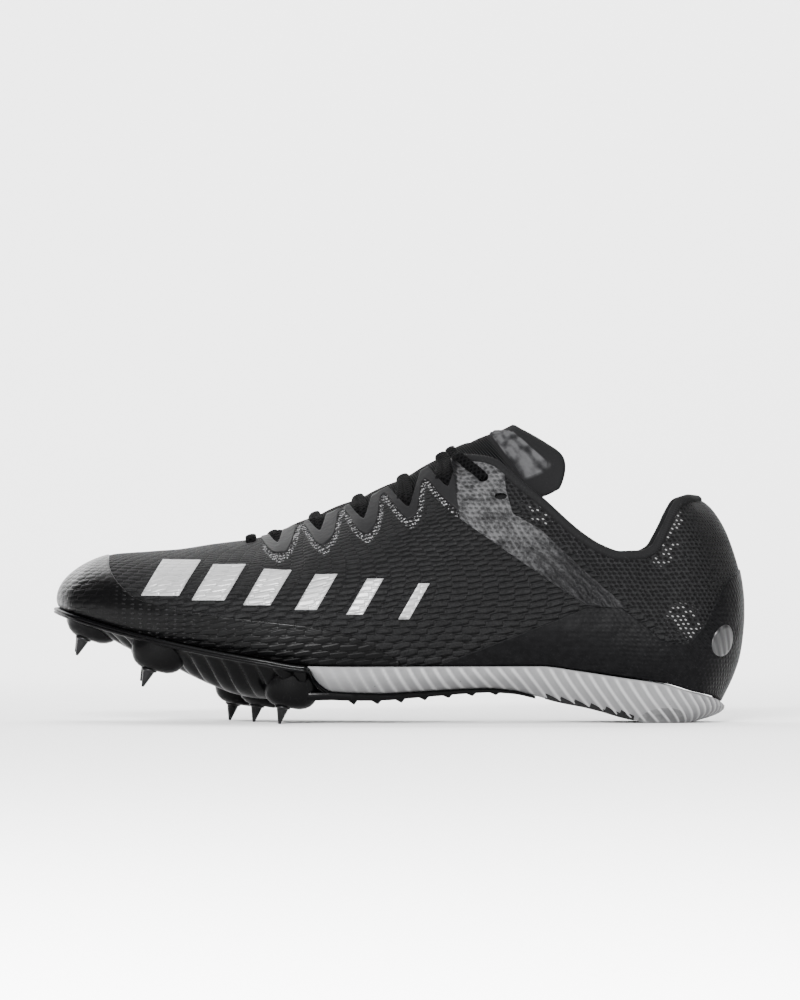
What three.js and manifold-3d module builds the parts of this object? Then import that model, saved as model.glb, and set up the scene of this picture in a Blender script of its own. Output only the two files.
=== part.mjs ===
// Track spike shoe: a left shoe with its toe towards -X and its outer side towards -Y.
// Millimetres, +Z up, the floor at Z 0.

import * as THREE from "three";
import { mergeVertices } from "three/addons/utils/BufferGeometryUtils.js";
import Module from "manifold-3d";

const wasm = await Module();
wasm.setup();

// Driving sizes of the last
const shoeLength = 281.6;
const ballWidth = 97;
const instepHeight = 108;
const heelHeight = 91.4;
const featherHeight = 23.8;
const toeAxisFromTip = 27;
const heelAxisFromBack = 32.7;
const axisBlend = 12;

// Walls, films and clearances
const upperWall = 1.6;
const filmThickness = 0.6;
const clearance = 0.3;
const seatGap = 0.55;
const bindingRadius = 1.5;

// Sole
const flangeReach = 1.6;
const flangeHeight = 2.4;
const flangeRoot = 4;
const foamBulge = 2;
const foamRibPitch = 10.2;
const foamRibDepth = 0.4;
const foamRibSlant = 0.022;
const foamFrontAt = 0.368;
const insoleThickness = 2.6;
const heelPadHeight = 6.4;
const plateTailThickness = 3.6;
const plateTailEndAt = 0.695;

// Spikes
const spikeLength = 7.4;
const spikeRadius = 2.1;
const spikeTipRadius = 0.9;
const spikeFlangeRadius = 3.1;
const spikeFlangeThickness = 1.1;
const spikeLean = 0.18;
const bossRadius = 8.6;
const bossLength = 1.2;
const bossRoof = 1.2;
const bossBack = 2.5;
const bossInward = 1.5;
const bossDome = [
  { out: 0, up: 0 },
  { out: 0.58, up: 0.03 },
  { out: 0.88, up: 0.42 },
  { out: 1, up: 1 },
  { out: 0, up: 1 },
];

// Tongue, laces and eyelets
const tongueThickness = 3;
const tongueTopPadding = 1.8;
const tongueEndMargin = 0.004;
const tongueEarFrom = 0.8;
const tongueEarWidth = 0.3;
const tongueEarDrop = 0.015;
const laceRadius = 1.5;
const eyeletRadius = 2.2;

// Plan outline of the widest line, as shares of the length and the ball width
const outline = [
  { at: 0, outer: -0.082, inner: 0.082 },
  { at: 0.012, outer: 0.072, inner: 0.232 },
  { at: 0.035, outer: 0.175, inner: 0.34 },
  { at: 0.0955, outer: 0.299, inner: 0.428 },
  { at: 0.16, outer: 0.392, inner: 0.469 },
  { at: 0.23, outer: 0.459, inner: 0.49 },
  { at: 0.3, outer: 0.5, inner: 0.485 },
  { at: 0.37, outer: 0.515, inner: 0.448 },
  { at: 0.44, outer: 0.505, inner: 0.387 },
  { at: 0.52, outer: 0.469, inner: 0.325 },
  { at: 0.6, outer: 0.423, inner: 0.294 },
  { at: 0.7, outer: 0.376, inner: 0.304 },
  { at: 0.8, outer: 0.351, inner: 0.325 },
  { at: 0.884, outer: 0.34, inner: 0.33 },
  { at: 0.945, outer: 0.294, inner: 0.289 },
  { at: 0.985, outer: 0.17, inner: 0.17 },
  { at: 1, outer: 0, inner: 0 },
];

// Ridge line seen from above, as a share of the ball width towards the inner side
const ridge = [
  { at: 0.0955, side: 0.072 },
  { at: 0.16, side: 0.07 },
  { at: 0.23, side: 0.062 },
  { at: 0.3, side: 0.047 },
  { at: 0.37, side: 0.034 },
  { at: 0.44, side: 0.023 },
  { at: 0.52, side: 0.016 },
  { at: 0.6, side: 0.008 },
  { at: 0.7, side: 0 },
];

// Feather line, as a share of its height at the waist
const feather = [
  { at: 0, height: 1.995 },
  { at: 0.03, height: 1.87 },
  { at: 0.0955, height: 1.64 },
  { at: 0.16, height: 1.453 },
  { at: 0.23, height: 1.281 },
  { at: 0.3, height: 1.134 },
  { at: 0.37, height: 1.01 },
  { at: 0.44, height: 1 },
  { at: 0.7, height: 1 },
  { at: 0.76, height: 0.912 },
  { at: 0.82, height: 0.803 },
  { at: 0.884, height: 0.689 },
  { at: 0.93, height: 0.55 },
  { at: 0.985, height: 0.429 },
  { at: 1, height: 0.345 },
];

// Top edge of the upper: shares of the instep height and of the heel height, added
const topLine = [
  { at: 0.0955, instep: 0.642, heel: 0 },
  { at: 0.16, instep: 0.652, heel: 0 },
  { at: 0.23, instep: 0.677, heel: 0 },
  { at: 0.27, instep: 0.69, heel: 0 },
  { at: 0.3, instep: 0.703, heel: 0 },
  { at: 0.37, instep: 0.766, heel: 0 },
  { at: 0.44, instep: 0.838, heel: 0 },
  { at: 0.52, instep: 0.935, heel: 0 },
  { at: 0.575, instep: 1, heel: 0 },
  { at: 0.6, instep: 0.995, heel: 0 },
  { at: 0.631, instep: 0.981, heel: 0 },
  { at: 0.67, instep: 0.7, heel: 0.234 },
  { at: 0.71, instep: 0.4, heel: 0.487 },
  { at: 0.76, instep: 0.15, heel: 0.646 },
  { at: 0.79, instep: 0.06, heel: 0.696 },
  { at: 0.82, instep: 0, heel: 0.74 },
  { at: 0.848, instep: 0, heel: 0.744 },
  { at: 0.867, instep: 0, heel: 0.77 },
  { at: 0.883, instep: 0, heel: 0.845 },
  { at: 0.898, instep: 0, heel: 0.93 },
  { at: 0.915, instep: 0, heel: 0.985 },
  { at: 0.95, instep: 0, heel: 1 },
  { at: 1, instep: 0, heel: 1 },
];

// Throat and collar: half width of the opening as a share of the ball width,
// and the fall of the wall at that edge in degrees
const opening = [
  { at: 0.275, half: 0, fall: 0 },
  { at: 0.3, half: 0.093, fall: 14 },
  { at: 0.37, half: 0.139, fall: 26 },
  { at: 0.44, half: 0.16, fall: 33 },
  { at: 0.52, half: 0.175, fall: 40 },
  { at: 0.575, half: 0.196, fall: 48 },
  { at: 0.6, half: 0.227, fall: 55 },
  { at: 0.631, half: 0.268, fall: 66 },
  { at: 0.67, half: 0.299, fall: 75 },
  { at: 0.71, half: 0.314, fall: 80 },
  { at: 0.76, half: 0.32, fall: 83 },
  { at: 0.82, half: 0.314, fall: 83 },
  { at: 0.848, half: 0.304, fall: 83 },
  { at: 0.87, half: 0.289, fall: 82 },
  { at: 0.884, half: 0.273, fall: 80 },
  { at: 0.93, half: 0.22, fall: 56 },
  { at: 0.97, half: 0.168, fall: 34 },
  { at: 1, half: 0.144, fall: 20 },
];

// Side wall: height of the widest line between feather and edge, how far the feather
// tucks in on each side as a share of the widest half width, and the fullness of the curve
const sideWall = [
  { at: 0, belly: 0.16, outerTuck: 0.97, innerTuck: 0.97, full: 0.5 },
  { at: 0.03, belly: 0.2, outerTuck: 0.965, innerTuck: 0.965, full: 0.51 },
  { at: 0.0955, belly: 0.27, outerTuck: 0.955, innerTuck: 0.955, full: 0.53 },
  { at: 0.16, belly: 0.29, outerTuck: 0.94, innerTuck: 0.94, full: 0.53 },
  { at: 0.3, belly: 0.28, outerTuck: 0.93, innerTuck: 0.93, full: 0.5 },
  { at: 0.37, belly: 0.26, outerTuck: 0.92, innerTuck: 0.9, full: 0.47 },
  { at: 0.44, belly: 0.24, outerTuck: 0.9, innerTuck: 0.86, full: 0.45 },
  { at: 0.52, belly: 0.24, outerTuck: 0.88, innerTuck: 0.81, full: 0.43 },
  { at: 0.6, belly: 0.25, outerTuck: 0.86, innerTuck: 0.79, full: 0.4 },
  { at: 0.7, belly: 0.3, outerTuck: 0.84, innerTuck: 0.8, full: 0.38 },
  { at: 0.76, belly: 0.38, outerTuck: 0.83, innerTuck: 0.81, full: 0.37 },
  { at: 0.82, belly: 0.4, outerTuck: 0.83, innerTuck: 0.82, full: 0.37 },
  { at: 0.884, belly: 0.3, outerTuck: 0.82, innerTuck: 0.82, full: 0.37 },
  { at: 0.93, belly: 0.36, outerTuck: 0.8, innerTuck: 0.8, full: 0.37 },
  { at: 1, belly: 0.454, outerTuck: 0.7, innerTuck: 0.7, full: 0.36 },
];

// Underside of the foam with its rubber: share of the feather height at the waist,
// and how far the flat bottom lies inside the top edge as a share of the ball width
const foamUnder = [
  { at: 0.368, height: 0.96, inset: 0.03 },
  { at: 0.374, height: 0.84, inset: 0.045 },
  { at: 0.385, height: 0.68, inset: 0.06 },
  { at: 0.404, height: 0.55, inset: 0.07 },
  { at: 0.43, height: 0.53, inset: 0.072 },
  { at: 0.472, height: 0.517, inset: 0.072 },
  { at: 0.53, height: 0.55, inset: 0.072 },
  { at: 0.625, height: 0.597, inset: 0.072 },
  { at: 0.664, height: 0.559, inset: 0.072 },
  { at: 0.695, height: 0.47, inset: 0.07 },
  { at: 0.73, height: 0.361, inset: 0.066 },
  { at: 0.766, height: 0.277, inset: 0.062 },
  { at: 0.79, height: 0.206, inset: 0.06 },
  { at: 0.819, height: 0.105, inset: 0.06 },
  { at: 0.839, height: 0.05, inset: 0.062 },
  { at: 0.86, height: 0, inset: 0.064 },
  { at: 0.884, height: 0, inset: 0.064 },
  { at: 0.95, height: 0, inset: 0.09 },
  { at: 1, height: 0, inset: 0.134 },
];

// Belly of the spike plate under the forefoot, as a share of the feather height at the waist
const plateBelly = [
  { at: 0, height: 1.72 },
  { at: 0.035, height: 1.54 },
  { at: 0.08, height: 1.38 },
  { at: 0.113, height: 1.22 },
  { at: 0.16, height: 1.03 },
  { at: 0.2, height: 0.8 },
  { at: 0.23, height: 0.64 },
  { at: 0.265, height: 0.49 },
  { at: 0.3, height: 0.42 },
  { at: 0.36, height: 0.41 },
  { at: 0.42, height: 0.42 },
];

// Tongue: centre line height as a share of the instep height, half width, fall and set-back
// of its edges as shares of the ball width
const tongueLine = [
  { at: 0.247, height: 0.65, half: 0.14, fall: 0.04, back: 0 },
  { at: 0.275, height: 0.662, half: 0.18, fall: 0.085, back: 0 },
  { at: 0.29, height: 0.676, half: 0.195, fall: 0.1, back: 0 },
  { at: 0.317, height: 0.706, half: 0.21, fall: 0.114, back: 0 },
  { at: 0.37, height: 0.768, half: 0.227, fall: 0.118, back: 0 },
  { at: 0.44, height: 0.842, half: 0.23, fall: 0.118, back: 0.01 },
  { at: 0.52, height: 0.938, half: 0.225, fall: 0.132, back: 0.03 },
  { at: 0.575, height: 1.022, half: 0.232, fall: 0.18, back: 0.08 },
  { at: 0.617, height: 1.08, half: 0.25, fall: 0.27, back: 0.165 },
  { at: 0.647, height: 1.108, half: 0.275, fall: 0.25, back: 0.225 },
  { at: 0.673, height: 1.142, half: 0.285, fall: 0.165, back: 0.262 },
];

// Front and top lace bars, and the two holes in each saddle film,
// as shares of the length and of the instep height
const frontBarAt = 0.288;
const topBarAt = 0.562;
const topBarEndAt = 0.613;
const topEyelet = { at: 0.619, height: 0.926 };
const spareEyelet = { at: 0.645, height: 0.854 };

// V notches in the throat edge: place and height of each tip
const notches = [
  { at: 0.324, height: 0.678 },
  { at: 0.385, height: 0.724 },
  { at: 0.448, height: 0.77 },
  { at: 0.513, height: 0.812 },
  { at: 0.569, height: 0.891 },
];

// Spikes: place as a share of the length, side as a share of the ball width towards
// the inner side, and lift of the tip above the floor as a share of the feather height
const spikes = [
  { name: "spike_front_outer", at: 0.042, side: -0.13, lift: 1.155 },
  { name: "spike_front_inner", at: 0.034, side: 0.24, lift: 1.19 },
  { name: "spike_middle_outer", at: 0.14, side: -0.31, lift: 0.63 },
  { name: "spike_middle_inner", at: 0.128, side: 0.36, lift: 0.68 },
  { name: "spike_rear_inner", at: 0.254, side: 0.34, lift: 0 },
  { name: "spike_rear_centre", at: 0.292, side: 0, lift: 0 },
  { name: "spike_rear_outer", at: 0.332, side: -0.37, lift: 0 },
];

// Mesh density
const stationCount = 36;
const wallLevels = 6;
const bellyLevel = 0.3;

const sides = [-1, 1];
const toeAxis = toeAxisFromTip / shoeLength;
const heelAxis = 1 - heelAxisFromBack / shoeLength;
const shareToX = (at) => (at - 0.5) * shoeLength;

// Value of one column of a table at a place, on a smooth curve with no overshoot
function along(rows, column, at) {
  const last = rows.length - 1;
  if (at <= rows[0].at) return rows[0][column];
  if (at >= rows[last].at) return rows[last][column];
  let k = 0;
  while (rows[k + 1].at < at) k += 1;
  const pitch = (j) => rows[j + 1].at - rows[j].at;
  const slope = (j) => (rows[j + 1][column] - rows[j][column]) / pitch(j);
  const tangent = (j) => {
    if (j === 0) return slope(0);
    if (j === last) return slope(last - 1);
    const before = slope(j - 1);
    const after = slope(j);
    return before * after <= 0 ? 0 : (2 * before * after) / (before + after);
  };
  const t = (at - rows[k].at) / pitch(k);
  const fromStart = (1 + 2 * t) * (1 - t) * (1 - t);
  const fromEnd = t * t * (3 - 2 * t);
  const bendStart = t * (1 - t) * (1 - t) * pitch(k) * tangent(k);
  const bendEnd = t * t * (t - 1) * pitch(k) * tangent(k + 1);
  return rows[k][column] * fromStart + rows[k + 1][column] * fromEnd + bendStart + bendEnd;
}

// Point of the closed plan outline: turn 0 at the toe tip, 1 at the back of the heel
const outlineRing = [];
for (const row of outline) {
  outlineRing.push([shareToX(row.at), -row.outer * ballWidth]);
}
for (const row of outline.slice(1, -1).reverse()) {
  outlineRing.push([shareToX(row.at), row.inner * ballWidth]);
}
function outlinePoint(side, turn) {
  const count = outlineRing.length;
  const place = side < 0 ? turn * (count / 2) : count - turn * (count / 2);
  const k = Math.floor(place);
  const t = place - k;
  const pick = (j) => outlineRing[(j + count) % count];
  const blend = (axis) => {
    const [a, b, c, d] = [pick(k - 1), pick(k), pick(k + 1), pick(k + 2)].map((p) => p[axis]);
    return b + 0.5 * t * (c - a + t * (2 * a - 5 * b + 4 * c - d + t * (3 * (b - c) + d - a)));
  };
  return [blend(0), blend(1)];
}

// The ribs stand on the ridge line, which stops at the toe axis and the heel axis
function softAxis(x) {
  const low = shareToX(toeAxis);
  const high = shareToX(heelAxis);
  if (x < low - axisBlend) return low;
  if (x > high + axisBlend) return high;
  if (x < low + axisBlend) return low + (x - low + axisBlend) ** 2 / (4 * axisBlend);
  if (x > high - axisBlend) return high - (high + axisBlend - x) ** 2 / (4 * axisBlend);
  return x;
}

const edgeHeight = (at) =>
  along(topLine, "instep", at) * instepHeight + along(topLine, "heel", at) * heelHeight;
const featherAt = (at) => along(feather, "height", at) * featherHeight;
const ridgeSide = (at) => along(ridge, "side", at) * ballWidth;

// One rib of the last: a plane through the ridge, with its feather, widest and edge points
function rib(side, turn) {
  const [x, y] = outlinePoint(side, turn);
  const at = x / shoeLength + 0.5;
  const axisX = softAxis(x);
  const axisAt = axisX / shoeLength + 0.5;
  const axisY = ridgeSide(axisAt);
  const widest = Math.hypot(x - axisX, y - axisY);
  const edgeAt = Math.max(at, axisAt);
  const tuck = along(sideWall, side < 0 ? "outerTuck" : "innerTuck", at);
  const half = along(opening, "half", edgeAt) * ballWidth;
  const low = featherAt(at);
  const top = edgeHeight(edgeAt);
  return {
    at, axisX, axisY, widest, low, top, half,
    toX: (x - axisX) / widest,
    toY: (y - axisY) / widest,
    foot: widest * tuck,
    middle: low + along(sideWall, "belly", at) * (top - low),
    fall: THREE.MathUtils.degToRad(along(opening, "fall", edgeAt)),
    full: along(sideWall, "full", at),
    tilt: (edgeHeight(axisAt + 0.01) - edgeHeight(axisAt)) / (0.01 * shoeLength),
  };
}

const bezier = (a, b, c, d, t) =>
  a * (1 - t) ** 3 + 3 * b * t * (1 - t) ** 2 + 3 * c * t * t * (1 - t) + d * t ** 3;

// Reach and height on a rib: level 0 at the feather, 1 at the edge
function ribCurve(r, level) {
  if (level < bellyLevel) {
    const t = level / bellyLevel;
    const rise = r.middle - r.low;
    const spread = r.widest - r.foot;
    return [
      bezier(r.foot, r.foot + spread * 0.5, r.widest, r.widest, t),
      bezier(r.low, r.low + rise * 0.25, r.middle - rise * 0.5, r.middle, t),
    ];
  }
  const t = (level - bellyLevel) / (1 - bellyLevel);
  const rise = r.top - r.middle;
  const spread = r.widest - r.half;
  const pull = r.full * (spread * Math.cos(r.fall) + rise * Math.sin(r.fall));
  return [
    bezier(r.widest, r.widest, r.half + pull * Math.cos(r.fall), r.half, t),
    bezier(r.middle, r.middle + rise * r.full, r.top - pull * Math.sin(r.fall), r.top, t),
  ];
}

// Point of the upper's outer face
function upperPoint(side, turn, level) {
  if (turn < 0) return upperPoint(-side, -turn, level);
  if (turn > 1) return upperPoint(-side, 2 - turn, level);
  const r = rib(side, turn);
  const [reach, height] = ribCurve(r, level);
  const x = r.axisX + r.toX * reach;
  const lean = r.half === 0 ? r.tilt * (x - r.axisX) * level : 0;
  return new THREE.Vector3(x, r.axisY + r.toY * reach, height + lean);
}

// The same face moved outwards by a distance
function upperOffset(side, turn, level, distance) {
  const point = upperPoint(side, turn, level);
  const r = rib(side, Math.min(Math.max(turn, 0), 1));
  const normal = new THREE.Vector3(-r.tilt, 0, 1);
  if (level < 1 || r.half > 0) {
    const step = 0.002;
    const ahead = upperPoint(side, turn + step, level);
    const behind = upperPoint(side, turn - step, level);
    const above = upperPoint(side, turn, Math.min(level + step, 1));
    const below = upperPoint(side, turn, Math.max(level - step, 0));
    normal.crossVectors(ahead.sub(behind), above.sub(below)).multiplyScalar(-side);
  }
  return point.addScaledVector(normal.normalize(), distance);
}

// Collects quads and triangles and welds them into one closed solid
class Skin {
  constructor() {
    this.corners = [];
  }

  triangle(a, b, c, flip = false) {
    const order = flip ? [a, c, b] : [a, b, c];
    for (const p of order) this.corners.push(p.x, p.y, p.z);
  }

  quad(a, b, c, d, flip = false) {
    this.triangle(a, b, c, flip);
    this.triangle(a, c, d, flip);
  }

  geometry() {
    const soup = new THREE.BufferGeometry();
    soup.setAttribute("position", new THREE.Float32BufferAttribute(this.corners, 3));
    return soup;
  }
}

// Turns a three.js geometry into a solid, without triangles that shrank to a line
function solid(geometry, matrix) {
  const copy = geometry.clone();
  copy.deleteAttribute("normal");
  copy.deleteAttribute("uv");
  if (matrix) copy.applyMatrix4(matrix);
  const welded = mergeVertices(copy, 1e-3);
  const index = welded.index.array;
  const kept = [];
  for (let k = 0; k < index.length; k += 3) {
    const [a, b, c] = [index[k], index[k + 1], index[k + 2]];
    if (a !== b && b !== c && c !== a) kept.push(a, b, c);
  }
  return new wasm.Manifold(new wasm.Mesh({
    numProp: 3,
    vertProperties: new Float32Array(welded.attributes.position.array),
    triVerts: new Uint32Array(kept),
  }));
}

function toGeometry(body) {
  const mesh = body.getMesh();
  const geometry = new THREE.BufferGeometry();
  geometry.setAttribute("position", new THREE.BufferAttribute(mesh.vertProperties, 3));
  geometry.setIndex(new THREE.BufferAttribute(mesh.triVerts, 1));
  geometry.computeVertexNormals();
  return geometry;
}

const shoe = new THREE.Group();
function addPiece(name, body, color, roughness, metalness = 0) {
  const material = new THREE.MeshStandardMaterial({ color, roughness, metalness });
  const mesh = new THREE.Mesh(toGeometry(body), material);
  mesh.name = name;
  shoe.add(mesh);
}

const turns = [];
for (let k = 0; k <= stationCount; k += 1) turns.push(k / stationCount);

// Wall between two offsets of the upper's outer face
function upperShell(from, to, firstLevel = 0) {
  const skin = new Skin();
  for (const side of sides) {
    const flip = side > 0;
    const face = (distance) => turns.map((turn) => {
      const column = [];
      for (let j = 0; j <= wallLevels; j += 1) {
        const level = Math.max(firstLevel, j / wallLevels);
        column.push(upperOffset(side, turn, level, distance));
      }
      return column;
    });
    const outside = face(to);
    const inside = face(from);
    for (let i = 0; i < stationCount; i += 1) {
      for (let j = 0; j < wallLevels; j += 1) {
        skin.quad(outside[i][j], outside[i + 1][j], outside[i + 1][j + 1], outside[i][j + 1], flip);
        skin.quad(inside[i][j], inside[i][j + 1], inside[i + 1][j + 1], inside[i + 1][j], flip);
      }
      skin.quad(outside[i + 1][0], outside[i][0], inside[i][0], inside[i + 1][0], flip);
      const open = rib(side, turns[i + 1]).half > 0;
      if (open) {
        const top = wallLevels;
        skin.quad(outside[i][top], outside[i + 1][top], inside[i + 1][top], inside[i][top], flip);
      }
    }
  }
  return solid(skin.geometry());
}

// Turn at which the widest line passes a share of the length
function turnAt(at) {
  let low = 0;
  let high = 1;
  for (let k = 0; k < 40; k += 1) {
    const middle = (low + high) / 2;
    if (outlinePoint(-1, middle)[0] < shareToX(at)) low = middle;
    else high = middle;
  }
  return (low + high) / 2;
}

// Turns spaced evenly along the outline
function evenTurns(from, to, count) {
  const samples = 400;
  const reach = [0];
  let previous = outlinePoint(-1, from);
  for (let k = 1; k <= samples; k += 1) {
    const next = outlinePoint(-1, from + ((to - from) * k) / samples);
    reach.push(reach[k - 1] + Math.hypot(next[0] - previous[0], next[1] - previous[1]));
    previous = next;
  }
  const result = [];
  let k = 0;
  for (let n = 0; n <= count; n += 1) {
    const goal = (reach[samples] * n) / count;
    while (k < samples - 1 && reach[k + 1] < goal) k += 1;
    const part = (goal - reach[k]) / (reach[k + 1] - reach[k]);
    result.push(from + ((to - from) * (k + part)) / samples);
  }
  return result;
}

// Solid between a centre line and a ring: each station gives [reach, height] pairs from
// the top centre to the bottom centre; an open end is closed flat
function ringSolid(stations, profile, openEnd) {
  const skin = new Skin();
  const ends = [];
  for (const side of sides) {
    const flip = side > 0;
    const columns = stations.map((turn, i) => profile(side, turn, i));
    for (let i = 0; i < stations.length - 1; i += 1) {
      for (let j = 0; j < columns[i].length - 1; j += 1) {
        const [a, b] = [columns[i], columns[i + 1]];
        skin.quad(a[j], a[j + 1], b[j + 1], b[j], flip);
      }
    }
    ends.push(columns[openEnd === "front" ? 0 : columns.length - 1]);
  }
  const [outer, inner] = ends;
  const rim = [...outer, ...inner.slice(1, -1).reverse()];
  for (let k = 1; k < rim.length - 1; k += 1) {
    skin.triangle(rim[0], rim[k], rim[k + 1], openEnd === "front");
  }
  return solid(skin.geometry());
}

const onRib = (r, reach, height) =>
  new THREE.Vector3(r.axisX + r.toX * reach, r.axisY + r.toY * reach, height);

// Sole form from the arch to the heel, with slanted ribs on its side; grown for cutting
function soleForm(grow, ribDepth = foamRibDepth, ribPitch = foamRibPitch) {
  const ribCount = Math.round(((1 - foamFrontAt) * shoeLength * 1.12) / ribPitch);
  const nose = foamUnder.slice(0, 4).map((row) => turnAt(row.at - grow / shoeLength));
  const stations = [...nose.slice(0, -1), ...evenTurns(nose[3], 1, ribCount * 2)];
  const levels = [0, 0.3, 0.62, 0.88];
  return ringSolid(stations, (side, turn, i) => {
    const fade = Math.min(1, i / 5, (stations.length - 1 - i) / 5);
    const wave = (i % 2 === 0 ? -1 : 1) * ribDepth * fade;
    const base = rib(side, turn);
    const slant = (level) => fade * level * foamRibSlant;
    const points = [onRib(base, 0, featherAt(base.axisX / shoeLength + 0.5) - seatGap + grow)];
    for (const level of levels) {
      const r = rib(side, Math.min(turn + slant(level), 1));
      const top = r.low - seatGap + grow;
      const bottom = along(foamUnder, "height", r.at) * featherHeight - grow;
      const bottomReach = r.foot - along(foamUnder, "inset", r.at) * ballWidth;
      const swell = Math.sin(Math.PI * (0.2 + 0.75 * level)) * foamBulge;
      const reach = THREE.MathUtils.lerp(r.foot, bottomReach, level ** 2.4) + swell;
      const ribbed = level > 0 ? wave : 0;
      points.push(onRib(r, reach + grow + ribbed, THREE.MathUtils.lerp(top, bottom, level)));
    }
    const r = rib(side, Math.min(turn + slant(1), 1));
    const bottom = along(foamUnder, "height", r.at) * featherHeight - grow;
    const flatReach = r.foot - along(foamUnder, "inset", r.at) * ballWidth;
    points.push(onRib(r, flatReach, bottom));
    const middle = along(foamUnder, "height", base.axisX / shoeLength + 0.5);
    points.push(onRib(base, 0, middle * featherHeight - grow));
    return points;
  }, "front");
}

// Prism through the whole shoe with an outline drawn from the side:
// points are shares of the length and heights in millimetres
function sidePrism(points, from = -ballWidth, to = ballWidth) {
  const shape = new THREE.Shape(points.map(([at, z]) => new THREE.Vector2(shareToX(at), z)));
  const body = new THREE.ExtrudeGeometry(shape, { depth: to - from, bevelEnabled: false });
  const turn = new THREE.Matrix4().makeRotationX(Math.PI / 2);
  const place = new THREE.Matrix4().makeTranslation(0, to, 0);
  return solid(body, place.multiply(turn));
}
const outerHalf = (points) => sidePrism(points, -ballWidth, 0);
const innerHalf = (points) => sidePrism(points, 0, ballWidth);

function cutEach(body, cutters) {
  return cutters.reduce((left, cutter) => left.subtract(cutter), body);
}

function joinAll(bodies) {
  return bodies.reduce((left, right) => left.add(right));
}

// Upper, with V notches in its throat edge and two lace holes on each side
const notchWidth = 0.034;
const notchRear = 0.012;
const notchAbove = 12;
function notchPoints(notch) {
  const above = edgeHeight(notch.at) + notchAbove;
  return [
    [notch.at - notchWidth, above],
    [notch.at, notch.height * instepHeight],
    [notch.at + notchRear, above],
  ];
}

function eyeletCut(place) {
  const body = new THREE.CylinderGeometry(eyeletRadius, eyeletRadius, ballWidth * 2, 8);
  const spot = new THREE.Matrix4();
  spot.makeTranslation(shareToX(place.at), 0, place.height * instepHeight);
  return solid(body, spot);
}

const notchCuts = notches.map((notch) => sidePrism(notchPoints(notch)));
const eyeletCuts = [topEyelet, spareEyelet].map(eyeletCut);
const upper = cutEach(upperShell(-upperWall, 0), [...notchCuts, ...eyeletCuts]);
addPiece("upper", upper, 0x161617, 0.75);

// Foam, rubber insert and heel pad, cut from one sole form by side outlines
const padFrom = 0.852;
const padTo = 0.925;
const padSlope = 0.012;
const insertFrom = 0.708;
const insertTo = 0.84;
const insertHigh = 0.5;
const insertLow = 0.16;
const scallops = 5;
const scallopLength = 0.018;
const scallopDrop = 0.1;
const belowFloor = -5;
function padOutline(grow) {
  const end = grow / shoeLength;
  return [
    [padFrom - padSlope - end, belowFloor],
    [padTo + padSlope + end, belowFloor],
    [padTo + end, heelPadHeight + grow],
    [padFrom - end, heelPadHeight + grow],
  ];
}

function insertOutline(grow) {
  const end = grow / shoeLength;
  const points = [[insertFrom - end, belowFloor]];
  for (let k = 0; k <= scallops; k += 1) {
    const at = THREE.MathUtils.lerp(insertFrom, insertTo, k / scallops);
    const share = THREE.MathUtils.lerp(insertHigh, insertLow, k / scallops);
    const height = share * featherHeight + grow;
    points.push([k === 0 ? at - end : at, height]);
    if (k < scallops) points.push([at + scallopLength, height - scallopDrop * featherHeight]);
  }
  points.push([insertTo + end, belowFloor]);
  return points.reverse();
}

const form = soleForm(0);
const foamCuts = [sidePrism(padOutline(clearance)), sidePrism(insertOutline(clearance))];
addPiece("midsole", cutEach(form, foamCuts), 0xc9cacb, 0.8);
addPiece("heel_insert", form.intersect(sidePrism(insertOutline(0))), 0x1b1b1c, 0.6);
addPiece("heel_pad", form.intersect(sidePrism(padOutline(0))), 0x8d8e90, 0.7);

// Spike plate: flange and belly under the forefoot
const plateEnd = 0.41;
const bellyAt = (at) => along(plateBelly, "height", at) * featherHeight;
function plateFront() {
  const end = turnAt(plateEnd);
  const stations = evenTurns(0, end, 16);
  return ringSolid(stations, (side, turn) => {
    const r = rib(side, turn);
    const top = r.low - seatGap;
    const reach = r.at < foamFrontAt ? r.widest + flangeReach : r.foot - flangeReach;
    const bottom = Math.min(bellyAt(r.at), top - flangeHeight - 1);
    const centreAt = r.axisX / shoeLength + 0.5;
    const root = reach - flangeRoot;
    return [
      onRib(r, 0, featherAt(centreAt) - seatGap),
      onRib(r, reach, top),
      onRib(r, reach, top - flangeHeight * 0.7),
      onRib(r, root, top - flangeHeight),
      onRib(r, root * 0.78, THREE.MathUtils.lerp(top - flangeHeight, bottom, 0.75)),
      onRib(r, root * 0.55, bottom),
      onRib(r, 0, bellyAt(centreAt)),
    ];
  }, "back");
}

// The plate's thin tail under the foam, with small teeth along its edges
const tailStart = 0.35;
const tailEdgeThickness = 1;
const tailWider = 2;
const tailUnder = (at) => along(foamUnder, "height", Math.max(at, 0.404)) * featherHeight;
const tailThickness = (at) => THREE.MathUtils.mapLinear(
  Math.max(at, tailStart), tailStart, plateTailEndAt, plateTailThickness, tailEdgeThickness);
const tailReach = (r) => r.foot - along(foamUnder, "inset", r.at) * ballWidth + tailWider;
function plateTail() {
  const skin = new Skin();
  const stations = evenTurns(turnAt(tailStart), turnAt(plateTailEndAt), 8);
  const rings = stations.map((turn) => {
    const [outer, inner] = sides.map((side) => rib(side, turn));
    const top = tailUnder(outer.at) - clearance;
    const bottom = top - tailThickness(outer.at);
    return [
      onRib(outer, tailReach(outer), top),
      onRib(outer, tailReach(outer) - tailEdgeThickness, bottom),
      onRib(inner, tailReach(inner) - tailEdgeThickness, bottom),
      onRib(inner, tailReach(inner), top),
    ];
  });
  for (let k = 0; k < rings.length - 1; k += 1) {
    const [a, b] = [rings[k], rings[k + 1]];
    for (let j = 0; j < 4; j += 1) {
      const next = (j + 1) % 4;
      skin.quad(a[j], a[next], b[next], b[j]);
    }
  }
  const last = rings[rings.length - 1];
  skin.quad(...rings[0], true);
  skin.quad(...last);
  return solid(skin.geometry());
}

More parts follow.
